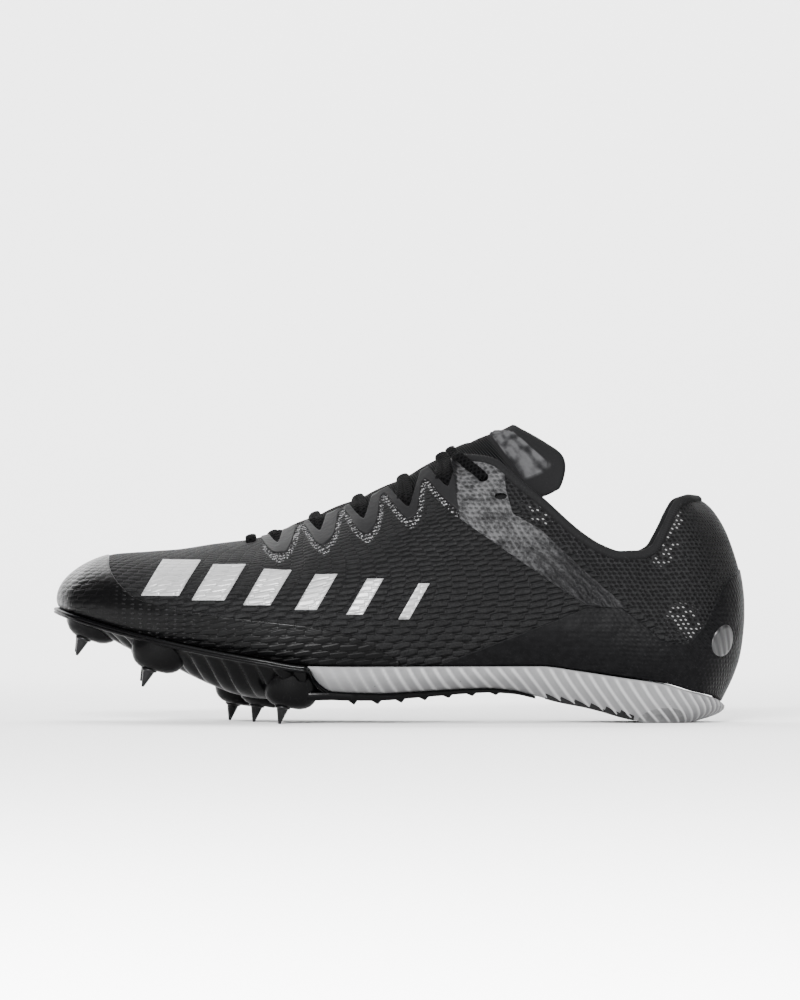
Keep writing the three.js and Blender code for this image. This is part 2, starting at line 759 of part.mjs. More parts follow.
// Wedge between two quads, each given top to bottom
function wedge(from, to) {
  const skin = new Skin();
  for (let j = 0; j < 4; j += 1) {
    const next = (j + 1) % 4;
    skin.quad(from[j], from[next], to[next], to[j]);
  }
  skin.quad(...from, true);
  skin.quad(...to);
  return solid(skin.geometry());
}

// Blades that run inwards and back from the flange over the belly
const bladeThickness = 1.3;
const bladeDepth = 2.2;
const bladeInnerReach = 0.42;
const bladeSunk = 2;
const bladeRows = [0.075, 0.11, 0.165, 0.2, 0.275, 0.315];
const bladeSweep = 0.03;
function blade(side, at) {
  const outer = rib(side, turnAt(at));
  const inner = rib(side, turnAt(at + bladeSweep));
  const outerReach = outer.widest + flangeReach - flangeRoot * 0.6;
  const innerReach = inner.widest * bladeInnerReach;
  const top = outer.low - seatGap - flangeHeight * 0.5;
  const low = bellyAt(inner.at) - bladeDepth;
  const half = new THREE.Vector3(bladeThickness / 2, 0, 0);
  const edge = (r, reach, high, deep) => {
    const up = onRib(r, reach, high);
    const down = onRib(r, reach, deep);
    return [
      up.clone().sub(half), down.clone().sub(half),
      down.clone().add(half), up.clone().add(half),
    ];
  };
  const start = edge(outer, outerReach, top, top - bladeDepth);
  const finish = edge(inner, innerReach, bellyAt(inner.at) + bladeSunk, low);
  return side < 0 ? wedge(finish, start) : wedge(start, finish);
}

const toothPitch = 0.05;
const toothDrop = 2.1;
const toothLength = 6;
const toothWidth = 3.2;
const toothSunk = 0.8;
const toothInset = 1.8;
function tooth(side, at) {
  const r = rib(side, turnAt(at));
  const base = tailUnder(r.at) - clearance - tailThickness(r.at);
  const drop = (toothDrop * tailThickness(r.at)) / plateTailThickness;
  const shape = new THREE.Shape([
    new THREE.Vector2(-toothLength / 2, toothSunk),
    new THREE.Vector2(toothLength * 0.4, -drop),
    new THREE.Vector2(toothLength / 2, toothSunk),
  ]);
  const body = new THREE.ExtrudeGeometry(shape, { depth: toothWidth, bevelEnabled: false });
  const spot = onRib(r, tailReach(r) - toothInset, base);
  const turn = new THREE.Matrix4().makeRotationX(Math.PI / 2);
  const place = new THREE.Matrix4().makeTranslation(spot.x, spot.y + toothWidth / 2, base);
  return solid(body, place.multiply(turn));
}

// Spikes with their bosses: each leans forward, with a flat tip
function spikeBase(spike) {
  const tip = spike.lift * featherHeight;
  return new THREE.Vector3(
    shareToX(spike.at), spike.side * ballWidth, tip + spikeLength);
}

const leanForward = (height) => {
  const shear = new THREE.Matrix4();
  shear.makeShear(0, 0, 0, 0, spikeLean, 0);
  return shear.multiply(new THREE.Matrix4().makeTranslation(0, 0, height));
};

function spikeBody(spike) {
  const profile = [
    new THREE.Vector2(0, -spikeLength),
    new THREE.Vector2(spikeTipRadius, -spikeLength),
    new THREE.Vector2(spikeRadius, -spikeFlangeThickness),
    new THREE.Vector2(spikeFlangeRadius, -spikeFlangeThickness),
    new THREE.Vector2(spikeFlangeRadius, -clearance),
    new THREE.Vector2(0, -clearance),
  ];
  const upright = new THREE.Matrix4().makeRotationX(Math.PI / 2);
  const base = spikeBase(spike);
  const place = new THREE.Matrix4().makeTranslation(base.x, base.y, base.z);
  const body = new THREE.LatheGeometry(profile, 8);
  return solid(body, place.multiply(leanForward(0)).multiply(upright));
}

function boss(spike) {
  const base = spikeBase(spike);
  const rearAt = spike.at + (bossRadius * bossLength + bossBack) / shoeLength;
  const roof = featherAt(rearAt) - seatGap - bossRoof;
  const height = roof - base.z;
  const profile = bossDome.map((row) => new THREE.Vector2(row.out * bossRadius, row.up * height));
  const upright = new THREE.Matrix4().makeRotationX(Math.PI / 2);
  const longer = new THREE.Matrix4().makeScale(bossLength, 1, 1);
  const inward = base.y - Math.sign(spike.side) * bossInward;
  const place = new THREE.Matrix4().makeTranslation(base.x + bossBack, inward, base.z);
  return solid(new THREE.LatheGeometry(profile, 8), place.multiply(longer).multiply(upright));
}

const plateParts = [plateFront(), plateTail(), ...spikes.map(boss)];
for (const side of sides) {
  for (const at of bladeRows) plateParts.push(blade(side, at));
  for (let at = tailStart + 0.06; at < plateTailEndAt - 0.02; at += toothPitch) {
    plateParts.push(tooth(side, at));
  }
}
const plate = joinAll(plateParts).subtract(soleForm(clearance * 1.5, 0, foamRibPitch * 2.2));
addPiece("spike_plate", plate, 0x121213, 0.28);
for (const spike of spikes) addPiece(spike.name, spikeBody(spike), 0x2a2a2c, 0.4, 0.7);

// Insole on the plate and the foam, inside the wall
const insoleEdge = upperWall + 0.6;
const insoleSeat = clearance * 2;
function insole() {
  const stations = evenTurns(0, 1, 22);
  const skin = new Skin();
  for (const side of sides) {
    const flip = side > 0;
    const columns = stations.map((turn) => {
      const r = rib(side, turn);
      const centre = featherAt(r.axisX / shoeLength + 0.5);
      const reach = r.foot - insoleEdge;
      const low = THREE.MathUtils.lerp(centre, r.low, reach / r.foot) + insoleSeat;
      return [
        onRib(r, 0, centre + insoleSeat + insoleThickness),
        onRib(r, reach, low + insoleThickness),
        onRib(r, reach, low),
        onRib(r, 0, centre + insoleSeat),
      ];
    });
    for (let i = 0; i < stations.length - 1; i += 1) {
      for (let j = 0; j < 3; j += 1) {
        const [a, b] = [columns[i], columns[i + 1]];
        skin.quad(a[j], a[j + 1], b[j + 1], b[j], flip);
      }
    }
  }
  return solid(skin.geometry());
}
addPiece("insole", insole(), 0x2b2b2d, 0.9);

// Tongue: a curved sheet under the throat whose top end wraps forward of the ankle
function tonguePoint(at, across, depth) {
  const spread = along(tongueLine, "half", at) * ballWidth;
  const fall = along(tongueLine, "fall", at) * ballWidth * across * across;
  const back = along(tongueLine, "back", at) * ballWidth * across * across;
  const height = along(tongueLine, "height", at) * instepHeight;
  return new THREE.Vector3(
    shareToX(at) + back, ridgeSide(at) + across * spread, height - fall - depth);
}

function tongueFace(at, across, depth) {
  const step = 0.004;
  const lengthwise = tonguePoint(at + step, across, 0).sub(tonguePoint(at - step, across, 0));
  const crosswise = tonguePoint(at, across + step, 0).sub(tonguePoint(at, across - step, 0));
  const normal = lengthwise.cross(crosswise).normalize();
  return tonguePoint(at, across, 0).addScaledVector(normal, -depth);
}

function tongue() {
  const first = tongueLine[0].at + tongueEndMargin;
  const last = tongueLine[tongueLine.length - 1].at - tongueEndMargin;
  const rows = 12;
  const columns = 6;
  const skin = new Skin();
  const spot = (i, j, deep) => {
    const across = (2 * j) / columns - 1;
    const share = i / rows;
    const nearTop = Math.max(0, share - tongueEarFrom) / (1 - tongueEarFrom);
    const ear = Math.max(0, Math.abs(across) - 1 + tongueEarWidth);
    const end = THREE.MathUtils.lerp(first, last, share) - ear * tongueEarDrop * nearTop;
    const pad = tongueThickness + tongueTopPadding * THREE.MathUtils.smoothstep(share, 0.75, 0.95);
    return tongueFace(end, across, deep ? pad : 0);
  };
  for (let i = 0; i < rows; i += 1) {
    for (let j = 0; j < columns; j += 1) {
      skin.quad(spot(i, j, 0), spot(i + 1, j, 0), spot(i + 1, j + 1, 0), spot(i, j + 1, 0));
      skin.quad(spot(i, j, 1), spot(i, j + 1, 1), spot(i + 1, j + 1, 1), spot(i + 1, j, 1));
    }
    skin.quad(spot(i, 0, 0), spot(i, 0, 1), spot(i + 1, 0, 1), spot(i + 1, 0, 0));
    skin.quad(spot(i + 1, columns, 0), spot(i + 1, columns, 1), spot(i, columns, 1),
      spot(i, columns, 0));
  }
  for (let j = 0; j < columns; j += 1) {
    skin.quad(spot(0, j + 1, 0), spot(0, j + 1, 1), spot(0, j, 1), spot(0, j, 0));
    skin.quad(spot(rows, j, 0), spot(rows, j, 1), spot(rows, j + 1, 1), spot(rows, j + 1, 0));
  }
  return solid(skin.geometry());
}
addPiece("tongue", tongue(), 0x1c1c1d, 0.85);

// Laces: a bar over the front of the throat, one from notch to notch on each row,
// and one at the last notches whose ends run down to the top eyelets
const laceSection = new THREE.Shape().absarc(0, 0, laceRadius, 0, Math.PI * 2);
const laceSeat = clearance * 2.5 + filmThickness + laceRadius;
function laceTube(points) {
  const path = new THREE.CatmullRomCurve3(points);
  const options = { steps: points.length * 2 - 2, bevelEnabled: false, extrudePath: path };
  return solid(new THREE.ExtrudeGeometry(laceSection, { ...options, curveSegments: 3 }));
}

const overEdge = (side, at, level) => upperOffset(side, turnAt(at), level, laceSeat);
const overTongue = (at) => tongueFace(at, 0, -(clearance + laceRadius));

const laceBar = (at) => laceTube([
  overEdge(-1, at, 0.95), overEdge(-1, at, 1), overTongue(at),
  overEdge(1, at, 1), overEdge(1, at, 0.95),
]);

const rowAts = notches.slice(0, -1).map((notch) => notch.at - notchRear / 2);
const laceAts = [frontBarAt, ...rowAts];
for (const [k, at] of laceAts.entries()) {
  addPiece(`lace_${k + 1}`, laceBar(at), 0x0c0c0d, 0.9);
}
addPiece(`lace_${laceAts.length + 1}`, laceTube([
  overEdge(-1, topBarEndAt, 0.93), overEdge(-1, topBarAt, 1), overTongue(topBarAt),
  overEdge(1, topBarAt, 1), overEdge(1, topBarEndAt, 0.93),
]), 0x0c0c0d, 0.9);

// Films and silver bars: cut from one thin shell over the upper
const filmFirstLevel = 0.05;
const filmShell = upperShell(clearance, clearance + filmThickness, filmFirstLevel);
const filmBody = cutEach(filmShell, [...notchCuts, ...eyeletCuts]);
const heightShare = (share) => share * instepHeight;
const raise = (points) => points.map(([at, share]) => [at, heightShare(share)]);

const toeFilmOutline = raise([
  [-0.05, -0.1], [-0.05, 0.75], [0.073, 0.75], [0.08, 0.59], [0.094, 0.53], [0.12, 0.472],
  [0.18, 0.43], [0.255, 0.4], [0.36, 0.372], [0.42, 0.34], [0.5, 0.235], [0.5, -0.1],
]);
addPiece("toe_film", filmBody.intersect(sidePrism(toeFilmOutline)), 0x0d0d0e, 0.18);

const counterOutline = raise([
  [0.55, -0.1], [0.553, 0.232], [0.768, 0.437], [0.818, 0.437], [0.864, 0.345],
  [0.878, 0.312], [0.906, 0.305], [0.924, 0.325], [0.938, 0.378], [0.956, 0.462],
  [0.974, 0.54], [1.05, 0.62], [1.05, -0.1],
]);
const dotRadius = 6.5;
const dotAngle = THREE.MathUtils.degToRad(46);
const dotPlace = { at: 0.967, height: 0.307 };
function dotCut(grow) {
  const body = new THREE.CylinderGeometry(dotRadius + grow, dotRadius + grow, ballWidth, 12);
  const place = new THREE.Matrix4();
  place.makeTranslation(shareToX(dotPlace.at), -ballWidth * 0.23, heightShare(dotPlace.height));
  const facing = new THREE.Matrix4().makeRotationZ(-dotAngle);
  const outwards = new THREE.Matrix4().makeTranslation(ballWidth * 0.4, 0, 0);
  const lying = new THREE.Matrix4().makeRotationZ(Math.PI / 2);
  return solid(body, place.multiply(facing).multiply(outwards).multiply(lying));
}
const counter = filmBody.intersect(sidePrism(counterOutline));
addPiece("counter_film", counter.subtract(dotCut(clearance)), 0x2e2f31, 0.45);
addPiece("heel_dot", filmBody.intersect(dotCut(0)), 0xa9abad, 0.4, 0.2);

const saddleOutline = raise([
  [0.574, 0.955], [0.586, 0.767], [0.674, 0.607], [0.764, 0.447], [0.815, 0.447],
  [0.798, 0.501], [0.754, 0.596], [0.703, 0.729], [0.662, 0.79], [0.652, 0.88],
  [0.632, 0.972], [0.6, 0.98],
]);
const eyestayOutline = raise([
  [0.29, 0.9], [0.29, 0.682], [0.302, 0.668], [0.328, 0.646], [0.345, 0.7], [0.36, 0.722],
  [0.388, 0.689], [0.403, 0.744], [0.42, 0.766], [0.451, 0.732], [0.467, 0.79], [0.486, 0.816],
  [0.516, 0.774], [0.53, 0.842], [0.545, 0.868], [0.571, 0.825], [0.571, 1.2],
]);
const silver = 0xb9bbbd;
const barCount = 6;
const barPitch = 0.074;
const barFront = 0.142;
const barLean = 0.03;
const barHalfHeight = 0.068;
function barOutline(k) {
  const from = barFront + k * barPitch;
  const width = THREE.MathUtils.lerp(0.056, 0.016, k / (barCount - 1));
  const middle = THREE.MathUtils.lerp(0.548, 0.46, k / (barCount - 1));
  return raise([
    [from - barLean / 2, middle - barHalfHeight],
    [from + width - barLean / 2, middle - barHalfHeight],
    [from + width + barLean / 2, middle + barHalfHeight],
    [from + barLean / 2, middle + barHalfHeight],
  ]);
}

const halves = [["outer", outerHalf], ["inner", innerHalf]];
for (const [label, half] of halves) {
  addPiece(`saddle_film_${label}`, filmBody.intersect(half(saddleOutline)), 0x4a4b4d, 0.4);
  addPiece(`eyestay_${label}`, filmBody.intersect(half(eyestayOutline)), 0x3a3b3d, 0.45);
  for (let k = 0; k < barCount; k += 1) {
    const body = filmBody.intersect(half(barOutline(k)));
    addPiece(`silver_bar_${label}_${k + 1}`, body, silver, 0.35, 0.3);
  }
}

// Collar binding: a roll on the edge of the foot opening
const bindingFrom = 0.58;
function collarBinding() {
  const points = [];
  const seat = bindingRadius + clearance * 2.6;
  const first = Math.ceil(turnAt(bindingFrom) * stationCount);
  const around = turns.slice(first);
  const spot = (side, turn) => {
    const step = 0.01;
    const edge = upperOffset(side, turn, 1, -upperWall / 2);
    const outside = upperOffset(side, turn, 1, 0).sub(edge).normalize();
    const run = upperPoint(side, turn + step, 1).sub(upperPoint(side, turn - step, 1));
    const rise = run.cross(outside).multiplyScalar(side).normalize();
    return edge.addScaledVector(rise, seat);
  };
  for (const turn of around) points.push(spot(-1, turn));
  for (const turn of around.slice(0, -1).reverse()) points.push(spot(1, turn));
  const path = new THREE.CatmullRomCurve3(points);
  const section = new THREE.Shape().absarc(0, 0, bindingRadius, 0, Math.PI * 2);
  const options = { steps: 28, bevelEnabled: false, extrudePath: path, curveSegments: 3 };
  return solid(new THREE.ExtrudeGeometry(section, options));
}
addPiece("collar_binding", collarBinding(), 0x2a2a2c, 0.8);

export default shoe;
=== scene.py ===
import bisect
import math

import bmesh
import bpy
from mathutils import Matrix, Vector, noise


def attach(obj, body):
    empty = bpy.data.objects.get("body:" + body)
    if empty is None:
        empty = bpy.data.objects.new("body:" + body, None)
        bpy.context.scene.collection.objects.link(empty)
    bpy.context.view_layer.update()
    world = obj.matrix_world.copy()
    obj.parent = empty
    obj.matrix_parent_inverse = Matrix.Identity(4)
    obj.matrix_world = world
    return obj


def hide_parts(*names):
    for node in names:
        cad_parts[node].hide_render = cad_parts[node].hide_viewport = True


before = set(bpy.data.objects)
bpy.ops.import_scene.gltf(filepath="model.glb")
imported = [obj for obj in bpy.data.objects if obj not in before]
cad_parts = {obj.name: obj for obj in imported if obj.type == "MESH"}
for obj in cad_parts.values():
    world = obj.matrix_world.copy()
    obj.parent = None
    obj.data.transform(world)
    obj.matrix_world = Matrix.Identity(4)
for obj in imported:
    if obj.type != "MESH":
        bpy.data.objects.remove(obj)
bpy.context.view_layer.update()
mm = 0.001

# sizes and tables of the last, the same as in the part
last = {
    "length": 0.2816,
    "ball": 0.097,
    "instep": 0.108,
    "heel": 0.0914,
    "feather": 0.0238,
    "toeAxis": 0.027,
    "heelAxis": 0.0327,
    "blend": 0.012,
    "wall": 0.0016,
    "bellyLevel": 0.3,
    "seatGap": 0.00055,
}

outline = [
    (0, -0.082, 0.082), (0.012, 0.072, 0.232), (0.035, 0.175, 0.34),
    (0.0955, 0.299, 0.428), (0.16, 0.392, 0.469), (0.23, 0.459, 0.49),
    (0.3, 0.5, 0.485), (0.37, 0.515, 0.448), (0.44, 0.505, 0.387),
    (0.52, 0.469, 0.325), (0.6, 0.423, 0.294), (0.7, 0.376, 0.304),
    (0.8, 0.351, 0.325), (0.884, 0.34, 0.33), (0.945, 0.294, 0.289),
    (0.985, 0.17, 0.17), (1, 0, 0),
]


def softCurve(pairs):
    places = [pair[0] for pair in pairs]
    values = [pair[1] for pair in pairs]
    count = len(pairs)
    slopes = [
        (values[k + 1] - values[k]) / (places[k + 1] - places[k])
        for k in range(count - 1)
    ]
    tangents = [slopes[0]]
    for before, after in zip(slopes, slopes[1:]):
        turns = before * after <= 0
        tangents.append(0.0 if turns else 2 * before * after / (before + after))
    tangents.append(slopes[-1])

    def value(at):
        if at <= places[0]:
            return values[0]
        if at >= places[-1]:
            return values[-1]
        k = min(bisect.bisect_right(places, at) - 1, count - 2)
        pitch = places[k + 1] - places[k]
        t = (at - places[k]) / pitch
        start = (1 + 2 * t) * (1 - t) ** 2
        end = t * t * (3 - 2 * t)
        bend = t * (1 - t) ** 2 * tangents[k] + t * t * (t - 1) * tangents[k + 1]
        return values[k] * start + values[k + 1] * end + bend * pitch

    return value


def curvesOf(names, rows):
    return {
        name: softCurve([(row[0], row[k + 1]) for row in rows])
        for k, name in enumerate(names)
    }


form = {}
form.update(curvesOf(["ridge"], [
    (0.0955, 0.072), (0.16, 0.07), (0.23, 0.062), (0.3, 0.047), (0.37, 0.034),
    (0.44, 0.023), (0.52, 0.016), (0.6, 0.008), (0.7, 0),
]))
form.update(curvesOf(["feather"], [
    (0, 1.995), (0.03, 1.87), (0.0955, 1.64), (0.16, 1.453), (0.23, 1.281),
    (0.3, 1.134), (0.37, 1.01), (0.44, 1), (0.7, 1), (0.76, 0.912),
    (0.82, 0.803), (0.884, 0.689), (0.93, 0.55), (0.985, 0.429), (1, 0.345),
]))
form.update(curvesOf(["topInstep", "topHeel"], [
    (0.0955, 0.642, 0), (0.16, 0.652, 0), (0.23, 0.677, 0), (0.27, 0.69, 0),
    (0.3, 0.703, 0), (0.37, 0.766, 0), (0.44, 0.838, 0), (0.52, 0.935, 0),
    (0.575, 1, 0), (0.6, 0.995, 0), (0.631, 0.981, 0), (0.67, 0.7, 0.234),
    (0.71, 0.4, 0.487), (0.76, 0.15, 0.646), (0.79, 0.06, 0.696),
    (0.82, 0, 0.74), (0.848, 0, 0.744), (0.867, 0, 0.77), (0.883, 0, 0.845),
    (0.898, 0, 0.93), (0.915, 0, 0.985), (0.95, 0, 1), (1, 0, 1),
]))
form.update(curvesOf(["half", "fall"], [
    (0.275, 0, 0), (0.3, 0.093, 14), (0.37, 0.139, 26), (0.44, 0.16, 33),
    (0.52, 0.175, 40), (0.575, 0.196, 48), (0.6, 0.227, 55), (0.631, 0.268, 66),
    (0.67, 0.299, 75), (0.71, 0.314, 80), (0.76, 0.32, 83), (0.82, 0.314, 83),
    (0.848, 0.304, 83), (0.87, 0.289, 82), (0.884, 0.273, 80),
    (0.93, 0.22, 56), (0.97, 0.168, 34), (1, 0.144, 20),
]))
form.update(curvesOf(["belly", "outerTuck", "innerTuck", "full"], [
    (0, 0.16, 0.97, 0.97, 0.5), (0.03, 0.2, 0.965, 0.965, 0.51),
    (0.0955, 0.27, 0.955, 0.955, 0.53), (0.16, 0.29, 0.94, 0.94, 0.53),
    (0.3, 0.28, 0.93, 0.93, 0.5), (0.37, 0.26, 0.92, 0.9, 0.47),
    (0.44, 0.24, 0.9, 0.86, 0.45), (0.52, 0.24, 0.88, 0.81, 0.43),
    (0.6, 0.25, 0.86, 0.79, 0.4), (0.7, 0.3, 0.84, 0.8, 0.38),
    (0.76, 0.38, 0.83, 0.81, 0.37), (0.82, 0.4, 0.83, 0.82, 0.37),
    (0.884, 0.3, 0.82, 0.82, 0.37), (0.93, 0.36, 0.8, 0.8, 0.37),
    (1, 0.454, 0.7, 0.7, 0.36),
]))
form.update(curvesOf(["underHeight", "underInset"], [
    (0.368, 0.96, 0.03), (0.374, 0.84, 0.045), (0.385, 0.68, 0.06),
    (0.404, 0.55, 0.07), (0.43, 0.53, 0.072), (0.472, 0.517, 0.072),
    (0.53, 0.55, 0.072), (0.625, 0.597, 0.072), (0.664, 0.559, 0.072),
    (0.695, 0.47, 0.07), (0.73, 0.361, 0.066), (0.766, 0.277, 0.062),
    (0.79, 0.206, 0.06), (0.819, 0.105, 0.06), (0.839, 0.05, 0.062),
    (0.86, 0, 0.064), (0.884, 0, 0.064), (0.95, 0, 0.09), (1, 0, 0.134),
]))
form.update(curvesOf(["plateBelly"], [
    (0, 1.72), (0.035, 1.54), (0.08, 1.38), (0.113, 1.22), (0.16, 1.03),
    (0.2, 0.8), (0.23, 0.64), (0.265, 0.49), (0.3, 0.42), (0.36, 0.41),
    (0.42, 0.42),
]))
form.update(curvesOf(["tongueHeight", "tongueHalf", "tongueFall", "tongueBack"], [
    (0.247, 0.65, 0.14, 0.04, 0), (0.275, 0.662, 0.18, 0.085, 0),
    (0.29, 0.676, 0.195, 0.1, 0), (0.317, 0.706, 0.21, 0.114, 0),
    (0.37, 0.768, 0.227, 0.118, 0), (0.44, 0.842, 0.23, 0.118, 0.01),
    (0.52, 0.938, 0.225, 0.132, 0.03), (0.575, 1.022, 0.232, 0.18, 0.08),
    (0.617, 1.08, 0.25, 0.27, 0.165), (0.647, 1.108, 0.275, 0.25, 0.225),
    (0.673, 1.142, 0.285, 0.165, 0.262),
]))


def xAt(at):
    return (at - 0.5) * last["length"]


def shareAt(x):
    return x / last["length"] + 0.5


ring = [(xAt(row[0]), -row[1] * last["ball"]) for row in outline]
ring += [(xAt(row[0]), row[2] * last["ball"]) for row in reversed(outline[1:-1])]


def outlinePoint(side, turn):
    count = len(ring)
    place = turn * count / 2 if side < 0 else count - turn * count / 2
    k = math.floor(place)
    t = place - k
    corners = [ring[(k + step) % count] for step in (-1, 0, 1, 2)]

    def blend(axis):
        a, b, c, d = [corner[axis] for corner in corners]
        cubic = t * (3 * (b - c) + d - a)
        return b + 0.5 * t * (c - a + t * (2 * a - 5 * b + 4 * c - d + cubic))

    return blend(0), blend(1)


def softAxis(x):
    low = -last["length"] / 2 + last["toeAxis"]
    high = last["length"] / 2 - last["heelAxis"]
    soft = last["blend"]
    if x < low - soft:
        return low
    if x > high + soft:
        return high
    if x < low + soft:
        return low + (x - low + soft) ** 2 / (4 * soft)
    if x > high - soft:
        return high - (high + soft - x) ** 2 / (4 * soft)
    return x


def edgeHeight(at):
    return form["topInstep"](at) * last["instep"] + form["topHeel"](at) * last["heel"]


def featherAt(at):
    return form["feather"](at) * last["feather"]


ribs = {}


def ribAt(side, turn):
    key = (side, round(turn, 6))
    if key in ribs:
        return ribs[key]
    x, y = outlinePoint(side, turn)
    at = shareAt(x)
    axisX = softAxis(x)
    axisAt = shareAt(axisX)
    axisY = form["ridge"](axisAt) * last["ball"]
    widest = math.hypot(x - axisX, y - axisY)
    edgeAt = max(at, axisAt)
    low = featherAt(at)
    top = edgeHeight(edgeAt)
    tuck = form["outerTuck" if side < 0 else "innerTuck"](at)
    tilt = (edgeHeight(axisAt + 0.01) - edgeHeight(axisAt)) / (0.01 * last["length"])
    ribs[key] = {
        "at": at, "axisX": axisX, "axisY": axisY, "widest": widest,
        "low": low, "top": top, "tilt": tilt,
        "toX": (x - axisX) / widest, "toY": (y - axisY) / widest,
        "foot": widest * tuck,
        "half": form["half"](edgeAt) * last["ball"],
        "middle": low + form["belly"](at) * (top - low),
        "fall": math.radians(form["fall"](edgeAt)),
        "full": form["full"](at),
    }
    return ribs[key]


def onRib(rib, reach, height):
    x = rib["axisX"] + rib["toX"] * reach
    return Vector((x, rib["axisY"] + rib["toY"] * reach, height))


def bezier(a, b, c, d, t):
    s = 1 - t
    return a * s ** 3 + 3 * b * t * s * s + 3 * c * t * t * s + d * t ** 3


def ribCurve(rib, level):
    bend = last["bellyLevel"]
    widest, middle = rib["widest"], rib["middle"]
    if level < bend:
        t = level / bend
        rise, spread = middle - rib["low"], widest - rib["foot"]
        return (
            bezier(rib["foot"], rib["foot"] + spread * 0.5, widest, widest, t),
            bezier(rib["low"], rib["low"] + rise * 0.25, middle - rise * 0.5, middle, t),
        )
    t = (level - bend) / (1 - bend)
    rise, spread = rib["top"] - middle, widest - rib["half"]
    pullX, pullZ = math.cos(rib["fall"]), math.sin(rib["fall"])
    pull = rib["full"] * (spread * pullX + rise * pullZ)
    return (
        bezier(widest, widest, rib["half"] + pull * pullX, rib["half"], t),
        bezier(middle, middle + rise * rib["full"], rib["top"] - pull * pullZ, rib["top"], t),
    )


def wallPoint(side, turn, level):
    if turn < 0:
        return wallPoint(-side, -turn, level)
    if turn > 1:
        return wallPoint(-side, 2 - turn, level)
    rib = ribAt(side, turn)
    reach, height = ribCurve(rib, level)
    point = onRib(rib, reach, height)
    if rib["half"] == 0:
        point.z += rib["tilt"] * (point.x - rib["axisX"]) * level
    return point


def wallNormal(side, turn, level):
    rib = ribAt(side, min(max(turn, 0), 1))
    if level >= 1 and rib["half"] == 0:
        return Vector((-rib["tilt"], 0, 1)).normalized()
    step = 0.002
    ahead = wallPoint(side, turn + step, level)
    behind = wallPoint(side, turn - step, level)
    above = wallPoint(side, turn, min(level + step, 1))
    below = wallPoint(side, turn, max(level - step, 0))
    return ((ahead - behind).cross(above - below) * -side).normalized()


# soft troughs and ridges of a worn upper: side, middle, direction in degrees,
# length, width and depth in millimetres; a depth below zero is a ridge
creases = [
    (-1, -46, 62, 62, 34, 5.0, 0.55), (-1, -40, 60, 66, 30, 4.0, -0.4),
    (-1, -33, 55, 70, 34, 5.0, 0.5), (-1, -22, 48, 24, 40, 6.0, 0.35),
    (-1, 8, 68, -42, 44, 7.0, 0.45), (-1, 20, 60, -46, 40, 6.0, -0.35),
    (-1, 60, 44, -16, 46, 7.0, 0.4), (-1, 84, 58, -52, 30, 6.0, 0.35),
    (-1, 104, 62, 64, 26, 6.0, 0.3), (-1, 112, 40, 78, 26, 7.0, -0.35),
    (-1, -96, 52, 18, 30, 6.0, 0.25), (-1, 34, 84, 32, 26, 5.0, 0.3),
    (1, -46, 58, 70, 34, 5.0, 0.5), (1, -34, 52, 74, 32, 5.0, -0.4),
    (1, -24, 48, 62, 34, 5.0, 0.45), (1, 10, 58, -38, 40, 7.0, 0.45),
    (1, 26, 46, -28, 44, 6.0, 0.4), (1, 62, 40, -12, 46, 8.0, 0.4),
    (1, 88, 58, -50, 30, 6.0, 0.35), (1, 108, 50, 72, 30, 7.0, 0.3),
]


def creaseAt(side, point):
    depth = 0.0
    for across, x, z, angle, length, width, sunk in creases:
        if across != side:
            continue
        dx, dz = point.x / mm - x, point.z / mm - z
        turn = math.radians(angle)
        run = (dx * math.cos(turn) + dz * math.sin(turn)) / (length / 2)
        off = (dz * math.cos(turn) - dx * math.sin(turn)) / width
        if abs(run) < 1 and abs(off) < 2.5:
            depth += sunk * mm * math.exp(-off * off) * (1 - run * run) ** 2
    soft = noise.noise(point * 55) * 0.25 + noise.noise(point * 130) * 0.1
    return soft * mm - depth


def wallOffset(side, turn, level, distance):
    point = wallPoint(side, turn, level)
    moved = distance + creaseAt(side, point)
    return point + wallNormal(side, turn, level) * moved


def turnAt(at):
    low, high = 0.0, 1.0
    for k in range(30):
        middle = (low + high) / 2
        if outlinePoint(-1, middle)[0] < xAt(at):
            low = middle
        else:
            high = middle
    return (low + high) / 2


def lineOf(points):
    # straight runs between (share of the length, height in metres) points
    def height(at):
        if at <= points[0][0]:
            return points[0][1]
        for (a, low), (b, high) in zip(points, points[1:]):
            if at <= b:
                return low + (high - low) * (at - a) / (b - a)
        return points[-1][1]
    return height


def levelUnder(side, turn, line):
    # highest level on a rib that stays under a line drawn from the side
    rib = ribAt(side, turn)

    def room(level):
        point = wallPoint(side, turn, level)
        return line(shareAt(point.x)) - point.z

    if room(0) <= 0:
        return 0.0
    steps = 24
    low = 0.0
    for k in range(1, steps + 1):
        high = k / steps
        if room(high) < 0:
            for again in range(14):
                middle = (low + high) / 2
                if room(middle) < 0:
                    high = middle
                else:
                    low = middle
            return low
        low = high
    return 1.0


# V notches in the throat edge: place and height of each tip
notches = [(0.324, 0.678), (0.385, 0.724), (0.448, 0.77), (0.513, 0.812), (0.569, 0.891)]


def throatLine(at):
    free = 1.0
    for tipAt, tipHeight in notches:
        tip = tipHeight * last["instep"]
        off = (at - tipAt) * last["length"]
        slope = 1.18 if off < 0 else 3.4
        rounded = math.sqrt(off * off * slope * slope + (1.5 * mm) ** 2) - 1.5 * mm
        free = min(free, tip + rounded)
    return free


def spaced(count, start=0.0, end=1.0):
    return [start + (end - start) * k / (count - 1) for k in range(count)]


